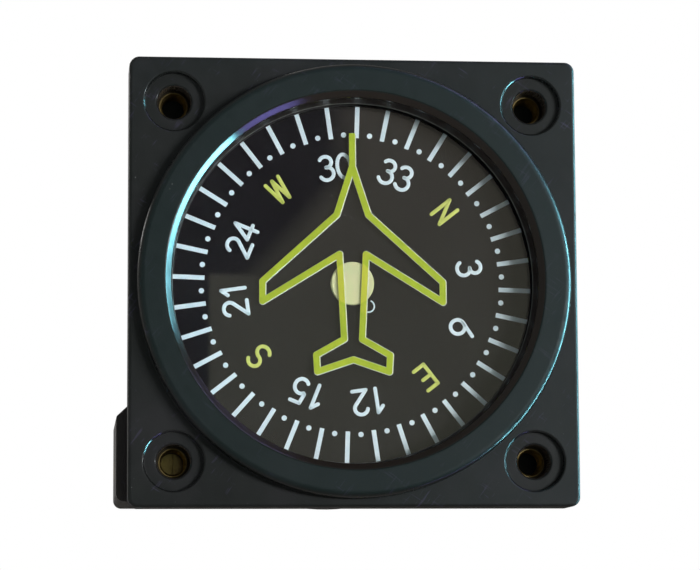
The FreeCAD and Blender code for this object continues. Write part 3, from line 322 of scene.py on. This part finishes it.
def satin_paint(name, colour, lighter, rough):
    """Sprayed black paint on metal with orange peel and small specks of dust."""
    material, tree, shader = new_material(name)
    place = object_place(tree)
    cloud = noise(tree, place, 90.0, 4.0)
    body = mottled(tree, cloud, colour, lighter, 0.35, 0.7)
    dust = specks(tree, place, 380.0, 0.08, 0.12)
    body = blend(tree, times(tree, dust, 0.4), body, (0.16, 0.16, 0.16))
    set_surface(
        tree, shader, body, uneven(tree, cloud, rough - 0.05, rough + 0.07),
        bump(tree, noise(tree, place, 1100.0, 3.0, 0.4), 0.03 * MM, 0.35))
    return material


def card_paint():
    """Matte black dial paint, a little dusty, with a few pale specks."""
    material, tree, shader = new_material("card_black")
    shader.inputs["Specular IOR Level"].default_value = 0.07
    place = object_place(tree)
    cloud = noise(tree, place, 95.0, 5.0)
    body = mottled(tree, cloud, (0.0062, 0.006, 0.0065), (0.0086, 0.0084, 0.0083))
    dust = specks(tree, place, 260.0, 0.05, 0.1)
    body = blend(tree, times(tree, dust, 0.5), body, (0.14, 0.13, 0.13))
    fine_dust = specks(tree, place, 900.0, 0.09, 0.06)
    body = blend(tree, times(tree, fine_dust, 0.3), body, (0.09, 0.07, 0.1))
    set_surface(
        tree, shader, body, uneven(tree, noise(tree, place, 900.0), 0.6, 0.74),
        bump(tree, noise(tree, place, 2600.0, 2.0), 0.006 * MM, 0.06))
    return material


def ink_mesh(tree, place):
    """Fine relief that the printing screen leaves in ink."""
    return bump(tree, noise(tree, place, 9000.0, 1.0), 0.006 * MM, 0.4)


def ink_and_painted_light(name, colour, other):
    """Screen-printed ink with slight density changes and a fine mesh texture; the painted light along the
    figure's edges uses it too.
    """
    material, tree, shader = new_material(name)
    place = object_place(tree)
    cloud = noise(tree, place, 900.0, 4.0)
    set_surface(
        tree, shader, mottled(tree, cloud, colour, other, 0.35, 0.68),
        uneven(tree, cloud, 0.45, 0.6), ink_mesh(tree, place))
    return material


def figure_paint():
    """Yellow-green ink on the glass, with painted light where the pale hub behind it would shine through."""
    material, tree, shader = new_material("figure_paint")
    place = object_place(tree)
    cloud = noise(tree, place, 700.0, 4.0)
    body = mottled(tree, cloud, (0.64, 0.78, 0.035), (0.72, 0.84, 0.05), 0.35, 0.68)
    radius, _ = radius_from_axis(tree)
    # Painted light: the ink turns yellower where the pale hub behind it would shine through
    hub_light_through_ink = spread(tree, radius, HUB_RADIUS + 0.06 * MM, HUB_RADIUS - 0.06 * MM)
    body = blend(tree, hub_light_through_ink, body, (0.84, 0.88, 0.09))
    near_root = spread(tree, radius, 5.2 * MM, 3.8 * MM)
    near_root = times(tree, near_root, spread(tree, cloud, 0.42, 0.6, 0.0, 0.55))
    body = blend(tree, near_root, body, (0.82, 0.84, 0.09))
    set_surface(tree, shader, body, uneven(tree, cloud, 0.45, 0.6), ink_mesh(tree, place))
    return material


def hub_plastic():
    """Pale button with a faint yellow-green cast and soft vertical streaks."""
    material, tree, shader = new_material("hub_plastic")
    shader.inputs["Specular IOR Level"].default_value = 0.3
    place = object_place(tree)
    streak = noise(tree, object_place(tree, (1.0, 1.0, 0.1)), 900.0, 2.0)
    cloud = noise(tree, place, 500.0, 3.0)
    body = mottled(tree, streak, (0.63, 0.68, 0.34), (0.69, 0.67, 0.39))
    body = blend(tree, spread(tree, cloud, 0.5, 0.75, 0.0, 0.5), body, (0.58, 0.7, 0.36))
    set_surface(
        tree, shader, body, uneven(tree, cloud, 0.32, 0.48),
        bump(tree, noise(tree, place, 5000.0, 2.0), 0.01 * MM, 0.4))
    return material


def sealant():
    """Grey rubbery sealant, a little shiny; its pale grey is partly a painted highlight."""
    material, tree, shader = new_material("sealant")
    cloud = noise(tree, object_place(tree), 900.0, 4.0)
    # Pale grey: partly a painted highlight for the glint along the aperture edge
    colour = mottled(tree, cloud, (0.1, 0.105, 0.095), (0.17, 0.18, 0.16))
    tree.links.new(colour, shader.inputs["Base Color"])
    tree.links.new(uneven(tree, cloud, 0.3, 0.5), shader.inputs["Roughness"])
    return material


# Metals and clear pieces
def turned_metal(name, colour, other, rough, tarnish=None):
    """Machined metal with fine tool lines, uneven tarnish and a soft relief."""
    material, tree, shader = new_material(name)
    shader.inputs["Metallic"].default_value = 1.0
    place = object_place(tree)
    lines = noise(tree, place, 5200.0, 3.0)
    body = mottled(tree, noise(tree, place, 600.0, 5.0), colour, other, 0.35, 0.68)
    if tarnish is not None:
        stain = spread(tree, noise(tree, place, 1500.0), 0.55, 0.75, 0.0, 0.6)
        body = blend(tree, stain, body, tarnish)
    set_surface(
        tree, shader, body, uneven(tree, lines, rough - 0.06, rough + 0.1),
        bump(tree, lines, 0.006 * MM, 0.6))
    return material, tree, shader


def plain_metal(*look):
    return turned_metal(*look)[0]


def insert_brass():
    """Brass that is bright on the thread and dark with tarnish on the ring round it."""
    material, tree, shader = turned_metal(
        "insert_brass", (0.2, 0.155, 0.06), (0.3, 0.23, 0.09), 0.4, (0.1, 0.07, 0.03))
    body = shader.inputs["Base Color"].links[0].from_socket
    ring = spread(tree, radius_from_holes(tree), 1.8 * MM, 1.9 * MM)
    tree.links.new(blend(tree, ring, body, (0.03, 0.026, 0.018)), shader.inputs["Base Color"])
    return material


def clear_pane(name, tint, rough):
    """Glass that lets the lamps through to what it covers."""
    material, tree, shader = new_material(name)
    shader.inputs["Base Color"].default_value = (*tint, 1.0)
    shader.inputs["Transmission Weight"].default_value = 1.0
    shader.inputs["IOR"].default_value = 1.5
    smear = spread(tree, noise(tree, object_place(tree), 160.0, 4.0), 0.45, 0.75, rough, rough + 0.03)
    tree.links.new(smear, shader.inputs["Roughness"])
    light_path = add_node(tree, "ShaderNodeLightPath")
    open_way = add_node(tree, "ShaderNodeBsdfTransparent")
    open_way.inputs["Color"].default_value = (*tint, 1.0)
    choose = add_node(tree, "ShaderNodeMixShader")
    tree.links.new(light_path.outputs["Is Shadow Ray"], choose.inputs["Fac"])
    tree.links.new(shader.outputs["BSDF"], choose.inputs[1])
    tree.links.new(open_way.outputs["BSDF"], choose.inputs[2])
    tree.links.new(choose.outputs["Shader"], tree.nodes["Material Output"].inputs["Surface"])
    return material


# Finishes that several pieces share
INSERT_BRASS = insert_brass()
WHITE_INK = ink_and_painted_light("mark_paint", (0.7, 0.87, 0.92), (0.78, 0.92, 0.95))
LETTER_INK = ink_and_painted_light("letter_paint", (0.56, 0.64, 0.1), (0.64, 0.7, 0.16))
# Pale paint for the painted light along the aircraft figure's edges
EDGE_LIGHT_PAINT = ink_and_painted_light("figure_edge_light_paint", (0.6, 0.68, 0.5), (0.68, 0.74, 0.58))

# Front of the instrument
assign(bezel_plastic(), "bezel")
assign(INSERT_BRASS, "mounting_inserts")
assign(clear_pane("window_glass", (0.985, 0.99, 0.99), 0.0), "window_glass")
assign(figure_paint(), "aircraft_symbol")
assign(soft_black("gasket_rubber", (0.008, 0.008, 0.008), (0.016, 0.016, 0.016), 0.7), "window_gasket")
assign(
    soft_black("spacer_black", (0.008, 0.008, 0.0085), (0.014, 0.014, 0.015), 0.55),
    "window_spacer_ring", "retaining_ring")
assign(card_paint(), "azimuth_card")
assign(WHITE_INK, "card_graduations")
assign(hub_plastic(), "card_hub")

# Movement
assign(plain_metal("pivot_steel", (0.52, 0.52, 0.54), (0.62, 0.62, 0.64), 0.24), "card_shaft", "rotor_shaft")
assign(
    plain_metal("gear_brass", (0.72, 0.54, 0.26), (0.8, 0.63, 0.34), 0.26),
    "card_gear", "rotor_gear", "shaft_bushes", "magnet_holder", "compensator_bearing_plate")
assign(
    plain_metal("movement_aluminium", (0.62, 0.62, 0.64), (0.72, 0.72, 0.74), 0.36),
    "movement_plate", "rotor_frame")
assign(
    plain_metal("magnet_alloy", (0.14, 0.14, 0.15), (0.2, 0.2, 0.21), 0.42),
    "rotor_magnet", "ew_magnet", "ns_magnet")
assign(
    plain_metal("pillar_brass", (0.42, 0.3, 0.11), (0.55, 0.4, 0.17), 0.36, (0.2, 0.13, 0.05)),
    "frame_pillars")
assign(
    plain_metal("spindle_brass", (0.36, 0.31, 0.12), (0.46, 0.39, 0.16), 0.38, (0.2, 0.15, 0.06)),
    "lower_jewel_screw", "upper_jewel_screw", "jewel_lock_nuts", "ew_spindle", "ns_spindle")
assign(plain_metal("cup_copper", (0.66, 0.34, 0.22), (0.76, 0.43, 0.3), 0.28), "damping_cup")
assign(clear_pane("jewel", (0.75, 0.12, 0.2), 0.02), "pivot_jewels")

# Case and corner compensator
assign(satin_paint("drum_paint", (0.012, 0.0125, 0.013), (0.02, 0.0205, 0.021), 0.4), "case_drum")
assign(
    moulded_plastic(
        "housing_plastic", (0.0145, 0.0132, 0.0125), (0.02, 0.0185, 0.017), 0.02 * MM, (0.44, 0.58))[0],
    "compensator_housing", "compensator_cover")
assign(
    plain_metal("screw_steel", (0.06, 0.06, 0.062), (0.11, 0.11, 0.112), 0.34, (0.03, 0.025, 0.02)),
    "frame_screws", "case_screws", "compensator_screws")


# Characters drawn as rounded strokes: x to the right and y up, in millimetres
def arc(centre, radii, start, end, steps=22):
    """Points on an ellipse between two angles in degrees, 0 to the right and 90 up."""
    points = []
    for index in range(steps + 1):
        angle = math.radians(start + (end - start) * index / steps)
        points.append((centre[0] + radii[0] * math.cos(angle), centre[1] + radii[1] * math.sin(angle)))
    return points


CHARACTERS = {
    "0": [arc((0, 0), (0.88, 1.58), 90, 450, 40)],
    "1": [[(0.2, -1.58), (0.2, 1.58), (-0.52, 0.78)]],
    "2": [arc((0, 0.76), (0.86, 0.82), 168, -38) + [(-0.9, -1.58), (0.92, -1.58)]],
    "3": [
        arc((-0.04, 0.83), (0.8, 0.75), 150, -62) + [(-0.02, 0.12)],
        [(-0.02, 0.12)] + arc((-0.04, -0.7), (0.92, 0.88), 62, -152),
    ],
    "4": [[(0.42, -1.58), (0.42, 1.58), (-1.02, -0.68), (0.98, -0.68)]],
    "5": [[(0.78, 1.58), (-0.52, 1.58), (-0.72, 0.3)] + arc((-0.02, -0.6), (0.9, 0.98), 128, -142)],
    "6": [arc((0, -0.62), (0.93, 0.96), 0, 360, 36), [(-0.86, -0.28), (0.42, 1.62)]],
    "N": [[(-0.85, -1.55), (-0.85, 1.55), (0.85, -1.55), (0.85, 1.55)]],
    "E": [[(0.82, 1.55), (-0.82, 1.55), (-0.82, -1.55), (0.82, -1.55)], [(-0.82, 0.06), (0.5, 0.06)]],
    "S": [
        arc((0, 0.78), (0.82, 0.77), 32, 262) + arc((0, -0.78), (0.88, 0.79), 82, -146),
    ],
    "W": [[(-1.04, 1.55), (-0.58, -1.55), (0, 1.5), (0.58, -1.55), (1.04, 1.55)]],
}


def stroke_outline(points, width):
    """Stations (point, direction, half width) along a line, its ends rounded unless it closes."""
    radius = width / 2
    stations = []
    count = len(points)
    closed = (points[0] - points[-1]).length < 1e-9
    for index, point in enumerate(points):
        back = points[index] - points[index - 1] if index else points[1] - points[0]
        onward = points[index + 1] - points[index] if index + 1 < count else back
        if closed and index in (0, count - 1):
            back, onward = points[-1] - points[-2], points[1] - points[0]
        stations.append((point, (back.normalized() + onward.normalized()).normalized(), radius))
    if closed:
        return stations, True
    first, last = stations[0], stations[-1]
    head = []
    tail = []
    for step in range(END_STEPS, 0, -1):
        angle = math.radians(90 * step / END_ROUNDING)
        head.append((first[0] - first[1] * radius * math.sin(angle), first[1], radius * math.cos(angle)))
    for step in range(1, END_STEPS + 1):
        angle = math.radians(90 * step / END_ROUNDING)
        tail.append((last[0] + last[1] * radius * math.sin(angle), last[1], radius * math.cos(angle)))
    return head + stations + tail, False


def add_stroke(vertices, faces, points, width, height, to_place):
    """Low rounded ribbon along a line of 2D points."""
    stations, closed = stroke_outline(points, width)
    profile = [(-1.0, 0.0), (-0.82, 0.75), (-0.4, 1.0), (0.4, 1.0), (0.82, 0.75), (1.0, 0.0)]
    base = len(vertices)
    for point, direction, half in stations:
        across = Vector((-direction.y, direction.x))
        for offset, rise in profile:
            vertices.append(to_place(point + across * (offset * half), rise * height))
    sides = len(profile)
    for ring in range(len(stations) - 1):
        for side in range(sides - 1):
            low = base + ring * sides + side
            faces.append((low, low + 1, low + sides + 1, low + sides))
    if not closed:
        faces.append(tuple(base + side for side in range(sides)))
        end = base + (len(stations) - 1) * sides
        faces.append(tuple(end + side for side in reversed(range(sides))))


def make_piece(name, vertices, faces, material, body, smooth=True):
    mesh = bpy.data.meshes.new(name)
    mesh.from_pydata([tuple(vertex) for vertex in vertices], [], faces)
    mesh.validate()
    mesh.materials.append(material)
    if smooth:
        mesh.polygons.foreach_set("use_smooth", [True] * len(mesh.polygons))
    piece = bpy.data.objects.new(name, mesh)
    bpy.context.scene.collection.objects.link(piece)
    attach(piece, body)


def split_corners(line):
    """Straight or curved runs between sharp corners, so that each corner is round outside."""
    runs = [[line[0]]]
    for index in range(1, len(line)):
        runs[-1].append(line[index])
        if index + 1 < len(line):
            back = (line[index] - line[index - 1]).normalized()
            onward = (line[index + 1] - line[index]).normalized()
            if back.dot(onward) < 0.9:
                runs.append([line[index]])
    return runs


def card_characters(name, labels, material):
    """Characters round the card, each with its top outward, as one printed piece."""
    vertices = []
    faces = []
    for text, angle in labels:
        theta = math.radians(NORTH_ANGLE + angle)
        outward = Vector((math.sin(theta), 0, math.cos(theta)))
        clockwise = Vector((math.cos(theta), 0, -math.sin(theta)))
        for index, character in enumerate(text):
            shift = (index - (len(text) - 1) / 2) * DIGIT_ADVANCE

            def to_place(point, rise, shift=shift, outward=outward, clockwise=clockwise):
                across = clockwise * ((point.x + shift) * MM)
                upward = outward * ((CHARACTER_CIRCLE + point.y) * MM)
                return across + upward + Vector((0, CARD_FACE - rise, 0))

            for line in CHARACTERS[character]:
                for run in split_corners([Vector(point) for point in line]):
                    add_stroke(vertices, faces, run, CHARACTER_STROKE, CHARACTER_HEIGHT, to_place)
    make_piece(name, vertices, faces, material, "card")


card_characters(
    "card_numerals",
    [("3", 30), ("6", 60), ("12", 120), ("15", 150), ("21", 210), ("24", 240), ("30", 300), ("33", 330)],
    WHITE_INK)
card_characters("card_letters", [("N", 0), ("E", 90), ("S", 180), ("W", 270)], LETTER_INK)


def painted_figure_edge_light():
    """Painted light along the aircraft figure's edges: a pale copy behind it, a little wider and slightly
    shifted.
    """
    nose_root, wing_tip, wing_rear, wing_root = (2.09, 9.1), (11.93, 0.2), (11.93, -2.45), (1.75, 3.85)
    tail_root, fin_tip, fin_rear = (1.18, -7.4), (4.88, -9.5), (4.75, -11.7)
    half = [nose_root, wing_tip, wing_rear, wing_root, tail_root, fin_tip, fin_rear]
    right = [Vector(point) for point in half]
    left = [Vector((-point.x, point.y)) for point in reversed(right)]
    nose, tail = Vector((0, 15.6)), Vector((0, -10.1))
    outline = [nose] + right + [tail] + left + [nose]
    vertices = []
    faces = []

    def to_place(point, rise):
        across, upward = point.x + EDGE_LIGHT_SLIP[0], point.y + EDGE_LIGHT_SLIP[1]
        return Vector((across * MM, FIGURE_REAR - rise, upward * MM))

    lubber_line = [Vector((0, 15.2)), Vector((0, 19.6))]
    for run in split_corners(outline) + [lubber_line]:
        add_stroke(vertices, faces, run, EDGE_LIGHT_STROKE, THIN_LAYER, to_place)
    make_piece("figure_edge_painted_light", vertices, faces, EDGE_LIGHT_PAINT, "case")


painted_figure_edge_light()


def hub_crescent():
    """Thin pale arc on the card below the hub, on its right."""
    vertices = []
    faces = []
    line = [Vector(point) for point in arc((2.15, -2.97), (0.76, 0.78), 62, -100, 24)]

    def to_place(point, rise):
        return Vector((point.x * MM, CARD_FACE - rise, point.y * MM))

    add_stroke(vertices, faces, line, CRESCENT_STROKE, THIN_LAYER, to_place)
    make_piece("card_crescent", vertices, faces, WHITE_INK, "card")


hub_crescent()


def insert_threads():
    """Helical thread ridges inside the four brass inserts."""
    vertices = []
    faces = []
    pitch = 0.794 * MM
    root, crest = 1.78 * MM, 1.5 * MM
    turns = (INSERT_BACK - INSERT_FRONT) / pitch - 1.0
    steps, run_out = 36, 12
    for x_sign in (-1, 1):
        for z_sign in (-1, 1):
            base = len(vertices)
            count = int(turns * steps)
            for index in range(count + 1):
                angle = 2 * math.pi * index / steps
                middle = INSERT_FRONT + pitch * (0.5 + index / steps)
                fade = min(1.0, index / run_out, (count - index) / run_out)
                tip = root + (crest - root) * fade
                for radius, offset in ((root, -0.46), (tip, -0.06), (tip, 0.06), (root, 0.46)):
                    vertices.append((
                        x_sign * INSERT_PLACE + radius * math.cos(angle),
                        middle + offset * pitch,
                        z_sign * INSERT_PLACE + radius * math.sin(angle)))
            for index in range(count):
                for side in range(3):
                    low = base + index * 4 + side
                    faces.append((low, low + 1, low + 5, low + 4))
    make_piece("insert_threads", vertices, faces, INSERT_BRASS, "case", smooth=False)


insert_threads()


def sealant_glint_bead():
    """Thin line of sealant where the aperture wall meets the glass; its pale grey stands in for the glint
    along that edge, a painted highlight, and its gloss catches the lamps as well.
    """
    vertices = []
    faces = []
    around, sides = 144, 6
    bead_radius, tube = 23.86 * MM, 0.11 * MM
    for index in range(around):
        theta = 2 * math.pi * index / around
        for side in range(sides):
            turn = 2 * math.pi * side / sides
            radius = bead_radius + tube * math.cos(turn)
            depth = GLASS_FRONT - tube * (1 + math.sin(turn))
            vertices.append((radius * math.sin(theta), depth, radius * math.cos(theta)))
    for index in range(around):
        for side in range(sides):
            low, high = index * sides, (index + 1) % around * sides
            onward = (side + 1) % sides
            faces.append((low + side, low + onward, high + onward, high + side))
    make_piece("sealant_glint_bead", vertices, faces, sealant(), "case")


sealant_glint_bead()


# Camera low and to the left, where the photograph was taken from
CAMERA_PLACE = (-0.036839, -0.358013, -0.044555)
CAMERA_TURN = (96.97013, 0.31702, -5.73684)
CAMERA_LENS = 142.645

camera_data = bpy.data.cameras.new("camera")
camera_data.sensor_width = 36.0
camera_data.lens = CAMERA_LENS
camera_data.clip_start = 0.01
camera = bpy.data.objects.new("camera", camera_data)
camera.location = CAMERA_PLACE
camera.rotation_euler = [math.radians(angle) for angle in CAMERA_TURN]
bpy.context.scene.collection.objects.link(camera)
bpy.context.scene.camera = camera


def area_lamp(name, place, target, size, energy, colour, in_gloss_only=False):
    data = bpy.data.lights.new(name, "AREA")
    data.shape = "RECTANGLE"
    data.size, data.size_y = size
    data.energy = energy
    data.color = colour
    lamp = bpy.data.objects.new(name, data)
    lamp.location = place
    lamp.rotation_euler = (Vector(target) - Vector(place)).to_track_quat("-Z", "Y").to_euler()
    lamp.visible_transmission = False
    lamp.visible_diffuse = not in_gloss_only
    bpy.context.scene.collection.objects.link(lamp)


# Two lamps light the object and the floor
CENTRE = (0, 0, 0)
area_lamp("key_lamp", (0.59, -0.81, 0.014), CENTRE, (0.46, 0.075), 5.6, (0.99, 0.97, 1.0))
area_lamp("back_lamp", (-0.5, 0.75, 0.6), CENTRE, (0.7, 0.7), 15.0, (1.0, 0.98, 0.96))

# Three coloured strips on the right show only as glints, in the ring's polished edges above all
area_lamp(
    "side_lamp", (0.75, -0.055, -0.16), (0, -0.055, -0.16), (0.16, 0.9), 60.0, (0.3, 0.84, 1.0), True)
area_lamp("low_lamp", (0.55, -0.12, -0.75), CENTRE, (0.12, 0.36), 2.2, (0.35, 0.3, 1.0), True)
area_lamp("high_lamp", (0.58, -0.115, 0.67), CENTRE, (0.1, 0.55), 2.8, (0.5, 0.45, 1.0), True)

FLOOR_REACH = 1.5


def floor_paint():
    """Pale matte grey that is open from below and in reflections."""
    material, tree, shader = new_material("floor")
    shader.inputs["Roughness"].default_value = 0.9
    shader.inputs["Specular IOR Level"].default_value = 0.0
    tone = spread(tree, noise(tree, object_place(tree), 6.0), 0.3, 0.7, 0.8, 0.84)
    colour = add_node(tree, "ShaderNodeCombineColor")
    for channel in ("Red", "Green", "Blue"):
        tree.links.new(tone, colour.inputs[channel])
    tree.links.new(colour.outputs["Color"], shader.inputs["Base Color"])
    side = add_node(tree, "ShaderNodeNewGeometry")
    light_path = add_node(tree, "ShaderNodeLightPath")
    open_way = add_node(tree, "ShaderNodeBsdfTransparent")
    choose = add_node(tree, "ShaderNodeMixShader")
    hidden = maths(tree, "MAXIMUM", side.outputs["Backfacing"], light_path.outputs["Is Glossy Ray"])
    tree.links.new(hidden, choose.inputs["Fac"])
    tree.links.new(shader.outputs["BSDF"], choose.inputs[1])
    tree.links.new(open_way.outputs["BSDF"], choose.inputs[2])
    tree.links.new(choose.outputs["Shader"], tree.nodes["Material Output"].inputs["Surface"])
    return material


floor_mesh = bpy.data.meshes.new("floor")
floor_corners = [(-1, -1), (1, -1), (1, 1), (-1, 1)]
floor_mesh.from_pydata(
    [(x * FLOOR_REACH, y * FLOOR_REACH, FLOOR_HEIGHT) for x, y in floor_corners], [], [(0, 1, 2, 3)])
floor_mesh.materials.append(floor_paint())
floor = bpy.data.objects.new("floor", floor_mesh)
bpy.context.scene.collection.objects.link(floor)

# Places in the studio as slopes: the way sideways or upward over the way to the front or the rear
BACKDROP_SIDEWAYS = (-0.03, 0.25)
BACKDROP_UPWARD = (-0.03, 0.3)
BACKDROP_FADE = 0.04
PANEL_LEFT = (0.049, 0.0505)
PANEL_TOP = (0.1275, 0.1255)
PANEL_SLOPE = 1.15
PANEL_SLANT_EDGE = (0.057, 0.042)
PANEL_RIGHT = (0.092, 0.106)
OFFSIDE_START = (0.4, 0.8)
LEAST_DEPTH = 0.05

WHITE = (1.0, 1.0, 1.0)
PANEL_TONES = ((0.36, 0.36, 0.285), (0.41, 0.37, 0.31))
DARK_FRONT = (0.05, 0.042, 0.058)
DARK_REAR = (0.06, 0.055, 0.05)
OFFSIDE_TONE = (0.3, 0.28, 0.26)
STUDIO_TONE = (0.24, 0.28, 0.3)


def studio_world():
    """White to the camera and behind the object, a dim studio with a slanted pale panel in front of it."""
    world = bpy.data.worlds.new("studio")
    world.use_nodes = True
    bpy.context.scene.world = world
    sky = world.node_tree
    background = sky.nodes["Background"]
    direction = add_node(sky, "ShaderNodeTexCoord")
    split = add_node(sky, "ShaderNodeSeparateXYZ")
    sky.links.new(direction.outputs["Generated"], split.inputs["Vector"])
    behind = spread(sky, split.outputs["Y"], 0.1, 0.45)
    depth = maths(sky, "MAXIMUM", maths(sky, "ABSOLUTE", split.outputs["Y"], 0.0), LEAST_DEPTH)
    sideways = maths(sky, "DIVIDE", split.outputs["X"], depth)
    upward = maths(sky, "DIVIDE", split.outputs["Z"], depth)

    backdrop = times(
        sky, band(sky, sideways, *BACKDROP_SIDEWAYS, BACKDROP_FADE),
        band(sky, upward, *BACKDROP_UPWARD, BACKDROP_FADE))
    backdrop = times(sky, behind, backdrop)

    slant = maths(sky, "SUBTRACT", upward, times(sky, sideways, PANEL_SLOPE))
    panel = maths(sky, "MAXIMUM", spread(sky, upward, *PANEL_TOP), spread(sky, slant, *PANEL_SLANT_EDGE))
    panel = maths(sky, "MAXIMUM", panel, spread(sky, sideways, *PANEL_RIGHT))
    panel = times(sky, spread(sky, sideways, *PANEL_LEFT), panel)
    front = blend(sky, panel, DARK_FRONT, blend(sky, spread(sky, upward, 0.1, 0.2), *PANEL_TONES))

    outward = maths(
        sky, "MAXIMUM", maths(sky, "ABSOLUTE", sideways, 0.0), maths(sky, "ABSOLUTE", upward, 0.0))
    offside = spread(sky, outward, *OFFSIDE_START)
    mirrored = blend(sky, behind, front, DARK_REAR)
    mirrored = blend(sky, offside, mirrored, OFFSIDE_TONE)
    mirrored = blend(sky, backdrop, mirrored, WHITE)
    seen_through = blend(sky, behind, blend(sky, offside, front, STUDIO_TONE), WHITE)

    light_path = add_node(sky, "ShaderNodeLightPath")
    view = blend(sky, light_path.outputs["Is Glossy Ray"], STUDIO_TONE, mirrored)
    view = blend(sky, light_path.outputs["Is Transmission Ray"], view, seen_through)
    view = blend(sky, light_path.outputs["Is Camera Ray"], view, WHITE)
    sky.links.new(view, background.inputs["Color"])
    background.inputs["Strength"].default_value = 1.0


studio_world()

bpy.context.scene.view_settings.view_transform = "Standard"
